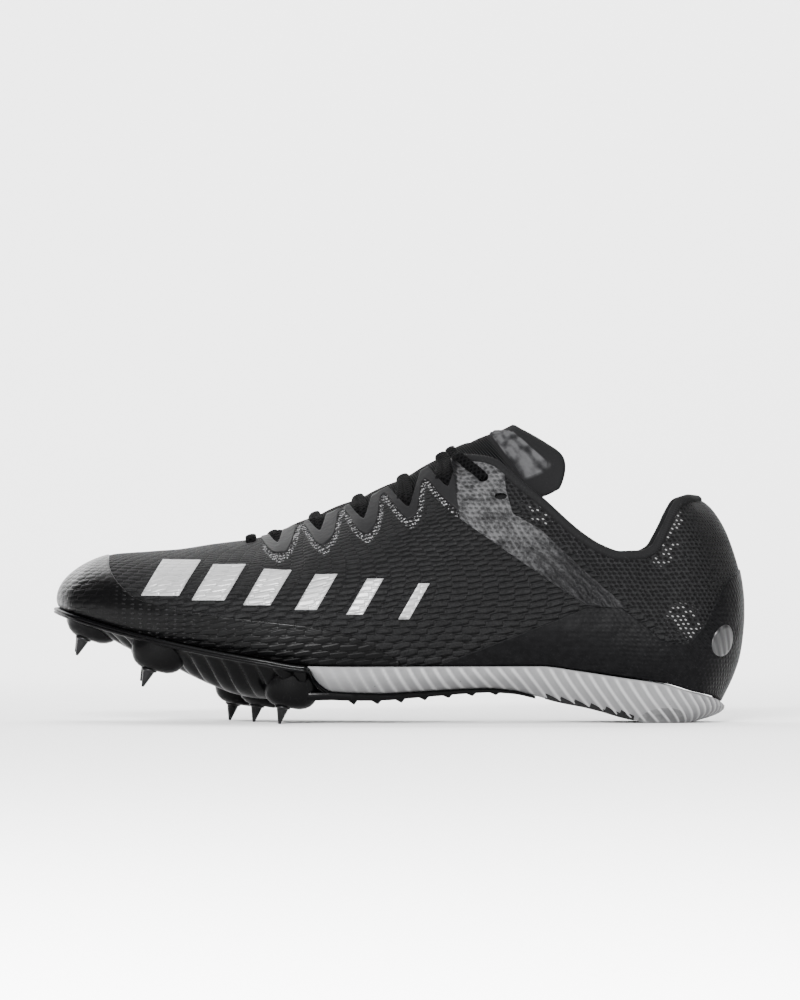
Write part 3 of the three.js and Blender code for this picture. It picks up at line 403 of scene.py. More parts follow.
def turnsBetween(start, end, pitch, fine=()):
    # turns along the outline with a set spacing, closer together inside the fine runs
    samples = 1500
    result = [start]
    travelled = 0.0
    before = outlinePoint(-1, start)
    for k in range(1, samples + 1):
        turn = start + (end - start) * k / samples
        after = outlinePoint(-1, turn)
        travelled += math.hypot(after[0] - before[0], after[1] - before[1])
        before = after
        at = shareAt(after[0])
        close = [run[2] for run in fine if run[0] < at < run[1]]
        if travelled >= (close[0] if close else pitch):
            result.append(turn)
            travelled = 0.0
    if end - result[-1] < 0.4 / samples:
        result.pop()
    result.append(end)
    return result


made = {}


def gridPiece(spots, wrap=False):
    # a plain grid whose corners are moved onto spots[i][j] = (point, uv, mark)
    columns, rows = len(spots), len(spots[0])
    bm = bmesh.new()
    bmesh.ops.create_grid(bm, x_segments=columns - 1, y_segments=rows - 1, size=0.5)
    uvLayer = bm.loops.layers.uv.new("shoe")
    markLayer = bm.verts.layers.float.new("mark")
    facing = {}
    for vert in bm.verts:
        i = round((vert.co.x + 0.5) * (columns - 1))
        j = round((vert.co.y + 0.5) * (rows - 1))
        point, uv, mark = spots[i][j]
        vert.co = point
        vert[markLayer] = mark
        facing[vert] = uv
    for face in bm.faces:
        for loop in face.loops:
            loop[uvLayer].uv = facing[loop.vert]
    return bm


def finishPiece(name, bm, material, nodes, weld=1e-6, extra=()):
    if weld:
        bmesh.ops.remove_doubles(bm, verts=bm.verts, dist=weld)
    bmesh.ops.recalc_face_normals(bm, faces=bm.faces)
    for face in bm.faces:
        face.smooth = True
    mesh = bpy.data.meshes.new(name)
    bm.to_mesh(mesh)
    bm.free()
    piece = bpy.data.objects.new(name, mesh)
    bpy.context.scene.collection.objects.link(piece)
    mesh.materials.append(material)
    for other in extra:
        mesh.materials.append(other)
    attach(piece, "root")
    if nodes:
        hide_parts(*nodes)
    made[name] = piece
    return piece


def arcs(points, start=0.0):
    # running length along a row of points
    result = [start]
    for before, after in zip(points, points[1:]):
        result.append(result[-1] + (after - before).length)
    return result


runTurns = spaced(401)
runLengths = arcs([Vector((*outlinePoint(-1, turn), 0)) for turn in runTurns])
runTable = softCurve(list(zip(runTurns, runLengths)))


# small kit for shader trees
def node(tree, kind, feeds=None, **settings):
    fresh = tree.nodes.new("ShaderNode" + kind)
    for name, value in settings.items():
        setattr(fresh, name, value)
    for key, value in (feeds or {}).items():
        if isinstance(value, bpy.types.NodeSocket):
            tree.links.new(value, fresh.inputs[key])
        else:
            fresh.inputs[key].default_value = value
    return fresh


def calc(tree, operation, *terms, clamp=False):
    feeds = {k: term for k, term in enumerate(terms)}
    return node(tree, "Math", feeds, operation=operation, use_clamp=clamp).outputs[0]


def stepped(tree, value, start, end, low=0.0, high=1.0):
    feeds = {"Value": value, "From Min": start, "From Max": end, "To Min": low, "To Max": high}
    return node(tree, "MapRange", feeds, interpolation_type="SMOOTHSTEP").outputs[0]


def mixed(tree, factor, first, second):
    feeds = {"Factor": factor, "A": first, "B": second}
    mix = tree.nodes.new("ShaderNodeMix")
    mix.data_type = "FLOAT"
    for key, value in ((0, factor), (2, first), (3, second)):
        if isinstance(value, bpy.types.NodeSocket):
            tree.links.new(value, mix.inputs[key])
        else:
            mix.inputs[key].default_value = value
    return mix.outputs[0]


def tinted(tree, factor, first, second):
    mix = tree.nodes.new("ShaderNodeMix")
    mix.data_type = "RGBA"
    for key, value in ((0, factor), (6, first), (7, second)):
        if isinstance(value, bpy.types.NodeSocket):
            tree.links.new(value, mix.inputs[key])
        elif key == 0:
            mix.inputs[key].default_value = value
        else:
            mix.inputs[key].default_value = (*value, 1)
    return mix.outputs[2]


def noisy(tree, spot, scale, detail=3, roughness=0.5):
    feeds = {"Vector": spot, "Scale": scale, "Detail": detail, "Roughness": roughness}
    return node(tree, "TexNoise", feeds).outputs[0]


def newGroup(name, inputs, outputs):
    tree = bpy.data.node_groups.new(name, "ShaderNodeTree")
    for label, kind in inputs:
        tree.interface.new_socket(name=label, in_out="INPUT", socket_type="NodeSocket" + kind)
    for label, kind in outputs:
        tree.interface.new_socket(name=label, in_out="OUTPUT", socket_type="NodeSocket" + kind)
    return tree, tree.nodes.new("NodeGroupInput"), tree.nodes.new("NodeGroupOutput")


def useGroup(tree, group, feeds=None):
    fresh = tree.nodes.new("ShaderNodeGroup")
    fresh.node_tree = group
    for key, value in (feeds or {}).items():
        if isinstance(value, bpy.types.NodeSocket):
            tree.links.new(value, fresh.inputs[key])
        else:
            fresh.inputs[key].default_value = value
    return fresh


def newMaterial(name, color, roughness, **principled):
    material = bpy.data.materials.new(name)
    material.use_nodes = True
    tree = material.node_tree
    shader = tree.nodes["Principled BSDF"]
    if color:
        shader.inputs["Base Color"].default_value = (*color, 1)
    shader.inputs["Roughness"].default_value = roughness
    for key, value in principled.items():
        shader.inputs[key.replace("_", " ")].default_value = value
    return material, tree, shader


def raised(tree, shader, height, distance, strength=1.0, under=None):
    feeds = {"Height": height, "Distance": distance, "Strength": strength}
    if under:
        feeds["Normal"] = under
    bump = node(tree, "Bump", feeds)
    tree.links.new(bump.outputs[0], shader.inputs["Normal"])
    return bump.outputs[0]


def shoeSpot(tree):
    # unwrapped place on the shoe in millimetres
    layer = node(tree, "UVMap", uv_map="shoe").outputs[0]
    return node(tree, "VectorMath", {0: layer, 3: 1000.0}, operation="SCALE").outputs[0]


def objectSpot(tree):
    place = tree.nodes.new("ShaderNodeTexCoord").outputs["Object"]
    return node(tree, "VectorMath", {0: place, 3: 1000.0}, operation="SCALE").outputs[0]


def split(tree, vector):
    parts = node(tree, "SeparateXYZ", {0: vector})
    return parts.outputs[0], parts.outputs[1], parts.outputs[2]


def joined(tree, x, y, z=0.0):
    return node(tree, "CombineXYZ", {0: x, 1: y, 2: z}).outputs[0]


# woven welts: short slanted dashes in wavy rows, brick fashion
weltGroup, start, end = newGroup("wovenWelts", [("Spot", "Vector")], [("Height", "Float"), ("ShadeBelow", "Float")])
s, t, depth = split(weltGroup, start.outputs[0])
wander = noisy(weltGroup, start.outputs[0], 0.09, 1)
t = calc(weltGroup, "ADD", t, calc(weltGroup, "MULTIPLY", wander, 2.4))
lanes = calc(weltGroup, "MULTIPLY", calc(weltGroup, "POWER", t, 1.6), 0.0232)
row = calc(weltGroup, "FLOOR", lanes)
dash = stepped(weltGroup, row, 5.0, 34.0, 7.2, 4.3)
along = calc(weltGroup, "ADD", calc(weltGroup, "DIVIDE", s, dash), calc(weltGroup, "MULTIPLY", row, 0.38))
inDash = calc(weltGroup, "SUBTRACT", calc(weltGroup, "FRACT", along), 0.5)
slanted = calc(weltGroup, "SUBTRACT", lanes, calc(weltGroup, "MULTIPLY", inDash, 0.42))
inRow = calc(weltGroup, "SUBTRACT", calc(weltGroup, "FRACT", slanted), 0.5)
across = stepped(weltGroup, calc(weltGroup, "ABSOLUTE", inRow), 0.47, 0.2)
length = stepped(weltGroup, calc(weltGroup, "ABSOLUTE", inDash), 0.5, 0.42)
body = calc(weltGroup, "MULTIPLY", across, mixed(weltGroup, length, 0.55, 1.0))
lit = calc(weltGroup, "MULTIPLY", inRow, 0.35)
weltGroup.links.new(calc(weltGroup, "ADD", body, lit), end.inputs[0])
# painted shade: the lower edge of each dash is darkened, as if lit from above
below = stepped(weltGroup, inRow, -0.25, -0.5)
gap = calc(weltGroup, "MULTIPLY", below, mixed(weltGroup, length, 0.4, 1.0))
weltGroup.links.new(gap, end.inputs[1])

# open knitted mesh: offset rows of small pits
meshGroup, start, end = newGroup("knitMesh", [("Spot", "Vector"), ("Pitch", "Float")], [("Height", "Float"), ("Pit", "Float"), ("Cell", "Float")])
s, t, depth = split(meshGroup, start.outputs[0])
pitch = start.outputs[1]
v = calc(meshGroup, "DIVIDE", t, calc(meshGroup, "MULTIPLY", pitch, 0.8))
u = calc(meshGroup, "ADD", calc(meshGroup, "DIVIDE", s, pitch), calc(meshGroup, "MULTIPLY", v, 0.5))
cells = node(meshGroup, "TexVoronoi", {"Vector": joined(meshGroup, u, v), "Scale": 1.0, "Randomness": 0.22}, voronoi_dimensions="2D")
meshGroup.links.new(stepped(meshGroup, cells.outputs["Distance"], 0.1, 0.5), end.inputs[0])
meshGroup.links.new(stepped(meshGroup, cells.outputs["Distance"], 0.36, 0.14), end.inputs[1])
tone = node(meshGroup, "SeparateColor", {0: cells.outputs["Color"]})
meshGroup.links.new(tone.outputs[0], end.inputs[2])

# fine yarn grain shared by the fabrics
grainGroup, start, end = newGroup("yarnGrain", [("Spot", "Vector")], [("Height", "Float")])
fine = noisy(grainGroup, start.outputs[0], 1.3, 4, 0.65)
coarse = noisy(grainGroup, start.outputs[0], 0.35, 2)
grainGroup.links.new(calc(grainGroup, "ADD", fine, calc(grainGroup, "MULTIPLY", coarse, 0.4)), end.inputs[0])
print("shader groups made")


# upper: one wall from heel to heel, outside and inside, with the notches cut in its edge
weave = {
    "yarn": (0.0012, 0.0012, 0.0013), "bright": (0.0075, 0.0075, 0.0078), "grooveShade": (0.0004, 0.0004, 0.0005),
    "print": (0.2, 0.2, 0.204), "depth": 0.55 * mm, "rough": 0.62, "shine": 0.06,
}
weaveMaterial, tree, shader = newMaterial("wovenUpper", weave["yarn"], weave["rough"])
shader.inputs["Specular IOR Level"].default_value = weave["shine"]
spot = shoeSpot(tree)
welts = useGroup(tree, weltGroup, {"Spot": spot})
knit = useGroup(tree, meshGroup, {"Spot": spot, "Pitch": 2.15})
grain = useGroup(tree, grainGroup, {"Spot": spot})
x, y, z = split(tree, objectSpot(tree))
behindSaddle = calc(tree, "MULTIPLY", calc(tree, "SUBTRACT", z, 84.9), 1.165)
toRear = calc(tree, "ADD", calc(tree, "SUBTRACT", x, 51.0), behindSaddle)
rear = stepped(tree, toRear, -1.0, 1.0)
height = mixed(tree, rear, welts.outputs["Height"], knit.outputs["Height"])
height = calc(tree, "ADD", height, calc(tree, "MULTIPLY", grain.outputs[0], 0.4))
raised(tree, shader, height, weave["depth"])
yarn = tinted(tree, stepped(tree, grain.outputs[0], 0.4, 0.85), weave["yarn"], weave["bright"])
# painted shade: a dark line under each welt dash
vamp = tinted(tree, welts.outputs["ShadeBelow"], yarn, weave["grooveShade"])
# painted shade: the pits of the mesh are darkened to the groove shade colour
pits = tinted(tree, calc(tree, "MULTIPLY", knit.outputs["Pit"], 0.85), yarn, weave["grooveShade"])
marked = node(tree, "Attribute", attribute_name="mark").outputs["Fac"]
# painted light: light grey pores in the patches, in place of the backdrop seen past the holes
poreLight = calc(tree, "MULTIPLY", stepped(tree, marked, -0.05, -0.35), calc(tree, "GREATER_THAN", knit.outputs["Cell"], 0.42))
poreLight = calc(tree, "MULTIPLY", poreLight, stepped(tree, knit.outputs["Pit"], 0.5, 0.85))
quarter = tinted(tree, poreLight, pits, (0.12, 0.12, 0.12))
cloth = tinted(tree, rear, vamp, quarter)
closer = node(tree, "VectorMath", {0: spot, 3: 1.7}, operation="SCALE").outputs[0]
dots = node(tree, "TexVoronoi", {"Vector": closer, "Scale": 1.0, "Randomness": 0.8})
onWelt = stepped(tree, welts.outputs["Height"], 0.5, 0.8)
flecks = calc(tree, "MULTIPLY", stepped(tree, dots.outputs["Distance"], 0.52, 0.36), onWelt)
band = calc(tree, "MULTIPLY", stepped(tree, marked, 0.6, 0.68), stepped(tree, marked, 0.95, 0.9))
printed = calc(tree, "MULTIPLY", band, flecks)
cloth = tinted(tree, printed, cloth, weave["print"])
tree.links.new(cloth, shader.inputs["Base Color"])

liningMaterial, tree, shader = newMaterial("lining", (0.004, 0.004, 0.0043), 0.9, Specular_IOR_Level=0.1)
grain = useGroup(tree, grainGroup, {"Spot": shoeSpot(tree)})
raised(tree, shader, grain.outputs[0], 0.2 * mm)

def heightLine(points):
    return lineOf([(at, share * last["instep"]) for at, share in points])


def softLine(points):
    return softCurve([(at, share * last["instep"]) for at, share in points])


eyestayLower = softLine([
    (0.28, 0.76), (0.299, 0.696), (0.3116, 0.655), (0.3202, 0.641), (0.334, 0.641), (0.3427, 0.678),
    (0.3513, 0.745), (0.3585, 0.755), (0.3669, 0.73), (0.3807, 0.678), (0.387, 0.667),
    (0.3985, 0.685), (0.405, 0.714), (0.4105, 0.79), (0.4175, 0.806), (0.4258, 0.785), (0.4414, 0.724),
    (0.4495, 0.713), (0.4615, 0.731), (0.467, 0.768), (0.4715, 0.85), (0.4775, 0.865), (0.4864, 0.841),
    (0.5054, 0.778), (0.512, 0.768), (0.5235, 0.786), (0.5265, 0.823), (0.531, 0.905), (0.5365, 0.918),
    (0.5425, 0.91), (0.5521, 0.877), (0.5799, 0.805), (0.5885, 0.787), (0.6, 0.77),
])
bottoms = [0.326, 0.392, 0.455, 0.517]


def printMark(point):
    # falls from 1 on the eyestay's edge to 0 six millimetres outside it
    at = shareAt(point.x)
    if at < 0.27 or at > 0.6 or eyestayLower(at) < point.z:
        return 0.0
    nearest = 9.0
    for step in range(-12, 13):
        run = step * 0.0016
        drop = eyestayLower(at + run) - point.z
        nearest = min(nearest, math.hypot(run * last["length"], drop) / mm)
    close = max(math.exp(-((at - bottom) / 0.011) ** 2) for bottom in bottoms)
    fade = 1.0 if 0.3 < at < 0.583 else 0.0
    return max(0.0, 1 - nearest * (1 - 0.45 * close) / 6) * fade


# painted light in some pores of the mesh, standing in for the backdrop seen past its holes: middle and reach of each
# patch
lightPatches = [(50, 84, 6), (57, 83, 6), (112, 82, 5), (109, 75, 6), (106, 69, 6), (114, 43, 7), (119, 38, 5)]


def lightMark(point):
    best = 0.0
    for x, z, reach in lightPatches:
        off = math.hypot(point.x / mm - x, point.z / mm - z) / reach
        best = max(best, 1 - off)
    return -best


upperTurns = turnsBetween(0, 1, 1.6 * mm, [(0.29, 0.57, 0.55 * mm)])
upperSides = [(-1, turn) for turn in reversed(upperTurns)] + [(1, turn) for turn in upperTurns[1:]]
wallShares = spaced(24, 0, 0.6) + spaced(42, 0.6, 1)[1:]
liningRows = 14
spots = []
for side, turn in upperSides:
    reach = levelUnder(side, turn, throatLine)
    outside = [wallOffset(side, turn, reach * share, 0) for share in wallShares]
    inside = [wallOffset(side, turn, reach * (1 - k / (liningRows - 1)), -last["wall"]) for k in range(liningRows)]
    low = ribAt(side, turn)["low"]
    heights = arcs(outside, low)
    run = runTable(turn)
    column = [
        (point, (run, height), printMark(point) or lightMark(point))
        for point, height in zip(outside, heights)
    ]
    column += [(point, (run, height), 0.0) for point, height in zip(inside, arcs(inside, low))]
    spots.append(column)
bm = gridPiece(spots)
liningFrom = (len(spots) - 1) * (len(wallShares) - 1)
for index, face in enumerate(bm.faces):
    face.material_index = 1 if index >= liningFrom else 0
finishPiece("upperWall", bm, weaveMaterial, ["upper"], extra=[liningMaterial])
print("upper made")


# films on the wall: the rim is sunk, the rest stands a little proud
def filmSheet(sideTurns, lowLine, highLine, rows, lift):
    inner = spaced(rows, 0.0, 1.0)
    shares = [0.0] + [0.015] + inner[1:-1] + [0.985] + [1.0]
    count = len(sideTurns)
    spots = []
    for i, (side, turn) in enumerate(sideTurns):
        low = levelUnder(side, turn, lowLine) if lowLine else 0.0
        high = levelUnder(side, turn, highLine)
        high = max(high, low)
        room = min(1.0, (high - low) / 0.03)
        sunk = i in (0, count - 1)
        rib = ribAt(side, turn)
        column = []
        for j, share in enumerate(shares):
            rim = sunk or j in (0, len(shares) - 1)
            away = -0.35 * mm if rim else -0.35 * mm + (lift + 0.35 * mm) * room
            column.append(wallOffset(side, turn, low + (high - low) * share, away))
        foot = wallPoint(side, turn, low)
        heights = arcs(column, rib["low"] + (foot - wallPoint(side, turn, 0)).length)
        run = runTable(turn)
        spots.append([(point, (run, height), 0.0) for point, height in zip(column, heights)])
    return gridPiece(spots)


def doubled(sideTurns, gap):
    # one more column just inside each end, for a short rim
    first, final = sideTurns[0], sideTurns[-1]
    inward = 1 if sideTurns[1][1] > first[1] else -1
    back = -1 if final[1] > sideTurns[-2][1] else 1
    return [first, (first[0], first[1] + gap * inward), *sideTurns[1:-1], (final[0], final[1] + gap * back), final]


def sidesOf(turns):
    return [(-1, turn) for turn in reversed(turns)] + [(1, turn) for turn in turns[1:]]


toeFilm = {"color": (0.0012, 0.0012, 0.0013), "speck": (0.018, 0.018, 0.019), "rough": 0.34, "coat": 0.07, "lift": 0.45 * mm}
toeMaterial, tree, shader = newMaterial("toeFilm", toeFilm["color"], toeFilm["rough"], Coat_Weight=toeFilm["coat"], Coat_Roughness=0.18, Specular_IOR_Level=0.08)
spot = shoeSpot(tree)
x, y, z = split(tree, objectSpot(tree))
welts = useGroup(tree, weltGroup, {"Spot": spot})
s, t, depth = split(tree, spot)
u = calc(tree, "DIVIDE", s, 3.9)
v = calc(tree, "DIVIDE", t, 1.9)
lattice = node(tree, "TexVoronoi", {"Vector": joined(tree, u, v), "Scale": 1.0, "Randomness": 0.12}, voronoi_dimensions="2D")
pins = stepped(tree, lattice.outputs["Distance"], 0.24, 0.1)
zone = calc(tree, "MULTIPLY", stepped(tree, x, -120.0, -104.0), stepped(tree, x, -76.0, -88.0))
welted = stepped(tree, x, -104.0, -84.0)
toeEnd = stepped(tree, x, -118.0, -134.0)
height = calc(tree, "MULTIPLY", welts.outputs["Height"], mixed(tree, welted, mixed(tree, toeEnd, 0.1, 0.45), 1.0))
height = calc(tree, "SUBTRACT", height, calc(tree, "MULTIPLY", pins, calc(tree, "MULTIPLY", zone, 1.1)))
ripple = noisy(tree, spot, 0.16, 2)
height = calc(tree, "ADD", height, calc(tree, "MULTIPLY", ripple, 1.2))
raised(tree, shader, height, 0.34 * mm)
speck = calc(tree, "MULTIPLY", calc(tree, "MULTIPLY", pins, zone), 0.5)
tree.links.new(tinted(tree, speck, toeFilm["color"], toeFilm["speck"]), shader.inputs["Base Color"])
rough = mixed(tree, stepped(tree, x, -50.0, -20.0), 0.32, 0.5)
tree.links.new(rough, shader.inputs["Roughness"])
tree.links.new(mixed(tree, stepped(tree, x, -56.0, -26.0), toeFilm["coat"], 0.01), shader.inputs["Coat Weight"])

toeTop = softLine([
    (-0.05, 0.75), (0.071, 0.75), (0.0795, 0.59), (0.094, 0.53), (0.12, 0.472), (0.18, 0.43),
    (0.255, 0.4), (0.36, 0.372), (0.42, 0.34), (0.5, 0.235), (0.52, 0.2),
])
filmTurns = turnsBetween(0, turnAt(0.5), 1.6 * mm)
bm = filmSheet(doubled(sidesOf(filmTurns), 0.0015), None, toeTop, 34, toeFilm["lift"])
finishPiece("toeFilm", bm, toeMaterial, ["toe_film"])

counterFilm = {"color": (0.0035, 0.0035, 0.0038), "rough": 0.5, "lift": 0.5 * mm}
counterMaterial, tree, shader = newMaterial("counterFilm", counterFilm["color"], counterFilm["rough"], Specular_IOR_Level=0.05)
spot = shoeSpot(tree)
knit = useGroup(tree, meshGroup, {"Spot": spot, "Pitch": 2.4})
x, y, z = split(tree, objectSpot(tree))
dented = calc(tree, "MULTIPLY", knit.outputs["Height"], stepped(tree, x, 60.0, 118.0, 0.1, 0.55))
lumps = noisy(tree, spot, 0.14, 3, 0.6)
raised(tree, shader, calc(tree, "ADD", dented, calc(tree, "MULTIPLY", lumps, 1.6)), 0.28 * mm)
tone = tinted(tree, stepped(tree, noisy(tree, spot, 0.3, 4, 0.7), 0.35, 0.7), (0.0015, 0.0015, 0.0017), (0.003, 0.003, 0.0033))
tree.links.new(tone, shader.inputs["Base Color"])
counterTop = heightLine([
    (0.545, 0.2), (0.56, 0.225), (0.768, 0.437), (0.818, 0.437), (0.864, 0.345), (0.874, 0.318),
    (0.89, 0.306), (0.906, 0.305), (0.92, 0.318), (0.938, 0.378), (0.956, 0.462), (0.974, 0.54),
    (1.0, 0.6),
])
heelTurns = turnsBetween(turnAt(0.545), 1, 1.6 * mm, [(0.545, 0.57, 0.8 * mm)])
around = [(-1, turn) for turn in heelTurns] + [(1, turn) for turn in reversed(heelTurns[:-1])]
bm = filmSheet(doubled(around, 0.0015), None, counterTop, 30, counterFilm["lift"])
finishPiece("counterFilm", bm, counterMaterial, ["counter_film"])

saddle = {
    "pale": (0.052, 0.052, 0.0535), "cloudy": (0.01, 0.01, 0.0105), "pit": (0.0014, 0.0014, 0.0015),
    "dark": (0.0034, 0.0034, 0.0037), "rough": 0.42, "lift": 0.55 * mm,
}
saddleMaterial, tree, shader = newMaterial("saddleFilm", saddle["pale"], saddle["rough"], Specular_IOR_Level=0.08)
spot = shoeSpot(tree)
knit = useGroup(tree, meshGroup, {"Spot": spot, "Pitch": 2.5})
lumps = noisy(tree, spot, 0.22, 4, 0.65)
x, y, z = split(tree, objectSpot(tree))
down = calc(tree, "SUBTRACT", x, z)
lower = stepped(tree, down, -36.0, 8.0)
ripples = calc(tree, "SINE", calc(tree, "ADD", calc(tree, "MULTIPLY", calc(tree, "ADD", x, z), 1.35), calc(tree, "MULTIPLY", lumps, 9.0)))
wave = calc(tree, "ADD", mixed(tree, lower, knit.outputs["Height"], ripples), calc(tree, "MULTIPLY", lumps, 2.2))
raised(tree, shader, wave, 0.4 * mm)
clouds = noisy(tree, spot, 0.16, 5, 0.75)
tone = tinted(tree, stepped(tree, clouds, 0.36, 0.62), saddle["cloudy"], saddle["pale"])
# painted shade in the pits of the mesh under the film
tone = tinted(tree, calc(tree, "MULTIPLY", knit.outputs["Pit"], 0.6), tone, saddle["pit"])
# painted shade in the troughs of the ripples on the lower part
tone = tinted(tree, stepped(tree, calc(tree, "MULTIPLY", ripples, lower), 0.1, -0.9), tone, saddle["cloudy"])
tone = tinted(tree, stepped(tree, down, -46.0, 20.0, 0.0, 0.8), tone, saddle["dark"])
ragged = calc(tree, "ADD", x, calc(tree, "MULTIPLY", noisy(tree, spot, 0.7, 4, 0.7), 3.4))
front = stepped(tree, ragged, 24.6, 25.3)
tree.links.new(tinted(tree, front, saddle["dark"], tone), shader.inputs["Base Color"])


def holeMask(tree, x, z, spots):
    # 0 inside the lace holes, 1 outside
    solid = 1.0
    for middleX, middleZ, wide, high in spots:
        dx = calc(tree, "DIVIDE", calc(tree, "SUBTRACT", x, middleX), wide)
        dz = calc(tree, "DIVIDE", calc(tree, "SUBTRACT", z, middleZ), high)
        off = calc(tree, "ADD", calc(tree, "MULTIPLY", dx, dx), calc(tree, "MULTIPLY", dz, dz))
        solid = calc(tree, "MULTIPLY", calc(tree, "GREATER_THAN", off, 1.0), solid)
    return solid


laceHoles = [(33.5, 100.0, 2.3, 1.9), (40.8, 92.2, 2.5, 1.3)]
tree.links.new(holeMask(tree, x, z, laceHoles), shader.inputs["Alpha"])
tree = weaveMaterial.node_tree
x, y, z = split(tree, objectSpot(tree))
tree.links.new(holeMask(tree, x, z, laceHoles), tree.nodes["Principled BSDF"].inputs["Alpha"])

saddleLow = heightLine([
    (0.57, 1.05), (0.576, 0.955), (0.586, 0.767), (0.674, 0.607), (0.764, 0.447), (0.78, 0.44), (0.83, 0.43),
])
saddleHigh = heightLine([
    (0.57, 1.2), (0.645, 1.2), (0.652, 0.88), (0.662, 0.79), (0.703, 0.729), (0.754, 0.6),
    (0.798, 0.501), (0.83, 0.432),
])
saddleTurns = turnsBetween(turnAt(0.572), turnAt(0.83), 0.9 * mm, [(0.572, 0.6, 0.3 * mm), (0.64, 0.67, 0.4 * mm)])
for side, label in ((-1, "outer"), (1, "inner")):
    bm = filmSheet([(side, turn) for turn in saddleTurns], saddleLow, saddleHigh, 26, saddle["lift"])
    finishPiece("saddleFilm_" + label, bm, saddleMaterial, ["saddle_film_" + label])

eyestay = {"color": (0.0052, 0.0052, 0.0056), "rough": 0.5, "lift": 0.5 * mm}
eyestayMaterial, tree, shader = newMaterial("eyestayFilm", eyestay["color"], eyestay["rough"], Specular_IOR_Level=0.07)
spot = shoeSpot(tree)
raised(tree, shader, noisy(tree, spot, 0.5, 3), 0.15 * mm)
stayRear = softLine([(0.57, 1.3), (0.5765, 1.02), (0.5885, 0.8), (0.594, 0.72)])
stayTurns = turnsBetween(turnAt(0.29), turnAt(0.5925), 0.4 * mm)


def stayUpper(at):
    return min(throatLine(at), stayRear(at))


for side, label in ((-1, "outer"), (1, "inner")):
    bm = filmSheet([(side, turn) for turn in stayTurns], eyestayLower, stayUpper, 14, eyestay["lift"])
    finishPiece("eyestay_" + label, bm, eyestayMaterial, ["eyestay_" + label])

# silver bars: generic slanted bars that grow thinner towards the heel
bars = {"color": (0.62, 0.62, 0.63), "rough": 0.4, "count": 6, "pitch": 0.074, "front": 0.142, "lean": 0.03, "half": 0.068}
barMaterial, tree, shader = newMaterial("silverBars", bars["color"], bars["rough"], Metallic=0.35)
spot = shoeSpot(tree)
welts = useGroup(tree, weltGroup, {"Spot": spot})
raised(tree, shader, welts.outputs["Height"], 0.3 * mm)
# painted shade under each dash of the bars
shade = calc(tree, "MULTIPLY", welts.outputs["ShadeBelow"], 0.45)
tree.links.new(tinted(tree, shade, (0.26, 0.26, 0.262), (0.08, 0.08, 0.082)), shader.inputs["Base Color"])


def levelAt(side, turn, height):
    low, high = 0.0, 1.0
    for k in range(22):
        middle = (low + high) / 2
        if wallPoint(side, turn, middle).z < height:
            low = middle
        else:
            high = middle
    return (low + high) / 2


for side, label in ((-1, "outer"), (1, "inner")):
    for k in range(bars["count"]):
        share = k / (bars["count"] - 1)
        start = bars["front"] + k * bars["pitch"]
        width = 0.056 + (0.016 - 0.056) * share
        middle = 0.548 + (0.46 - 0.548) * share
        acrossShares = [0, 0.02] + spaced(10)[1:-1] + [0.98, 1]
        spots = []
        for p in acrossShares:
            column = []
            for q in acrossShares:
                at = start + p * width + (q - 0.5) * bars["lean"]
                height = (middle + (2 * q - 1) * bars["half"]) * last["instep"]
                turn = turnAt(at)
                level = levelAt(side, turn, height)
                rim = p in (0, 1) or q in (0, 1)
                point = wallOffset(side, turn, level, -0.2 * mm if rim else 0.42 * mm)
                base = wallPoint(side, turn, 0)
                column.append((point, (runTable(turn), base.z + (point - base).length), 0.0))
            spots.append(column)
        bm = gridPiece(spots)
        finishPiece(f"silverBar_{label}_{k + 1}", bm, barMaterial, [f"silver_bar_{label}_{k + 1}"])

dot = {"color": (0.04, 0.04, 0.041), "rough": 0.35, "radius": 6.6 * mm, "at": 0.967, "height": 0.307}
dotMaterial, tree, shader = newMaterial("reflector", dot["color"], dot["rough"], Metallic=0.3)
s, t, depth = split(tree, shoeSpot(tree))
stripes = calc(tree, "SINE", calc(tree, "ADD", calc(tree, "MULTIPLY", s, 1.9), calc(tree, "MULTIPLY", t, 0.7)))
raised(tree, shader, stripes, 0.14 * mm)
tree.links.new(tinted(tree, stepped(tree, stripes, -0.6, 0.8), (0.011, 0.011, 0.0115), (0.026, 0.026, 0.0265)), shader.inputs["Base Color"])
turn = turnAt(dot["at"])
level = levelAt(-1, turn, dot["height"] * last["instep"])
perTurn = (wallPoint(-1, turn + 0.002, level) - wallPoint(-1, turn - 0.002, level)).length / 0.004
perLevel = (wallPoint(-1, turn, level + 0.01) - wallPoint(-1, turn, level - 0.01)).length / 0.02
spots = []
for angle in spaced(49, 0, 2 * math.pi):
    column = []
    for share in [0, 0.25, 0.5, 0.75, 0.95, 1]:
        reach = dot["radius"] * share
        away = 0.2 * mm if share == 1 else 0.75 * mm
        sideways, up = reach * math.cos(angle), reach * math.sin(angle)
        point = wallOffset(-1, turn + sideways / perTurn, level + up / perLevel, away)
        column.append((point, (sideways, up), 0.0))
    spots.append(column)
finishPiece("heelDot", gridPiece(spots), dotMaterial, ["heel_dot"])
print("films made")


# tubes: a round or flattened section swept along points, with the flat side facing out
def sweep(points, outward, wide, thick, around=12, ends=True):
    count = len(points)
    spots = []
    lengths = arcs(points)
    for i, point in enumerate(points):
        ahead = points[min(i + 1, count - 1)] - points[max(i - 1, 0)]
        run = ahead.normalized()
        up = (outward[i] - run * outward[i].dot(run)).normalized()
        beside = run.cross(up)
        taper = 0.02 if ends and i in (0, count - 1) else 1.0
        column = []
        for k in range(around + 1):
            angle = 2 * math.pi * k / around
            offset = beside * math.cos(angle) * wide / 2 + up * math.sin(angle) * thick / 2
            column.append((point + offset * taper, (lengths[i], k / around * 10 * mm), 0.0))
        spots.append(column)
    return gridPiece(spots)


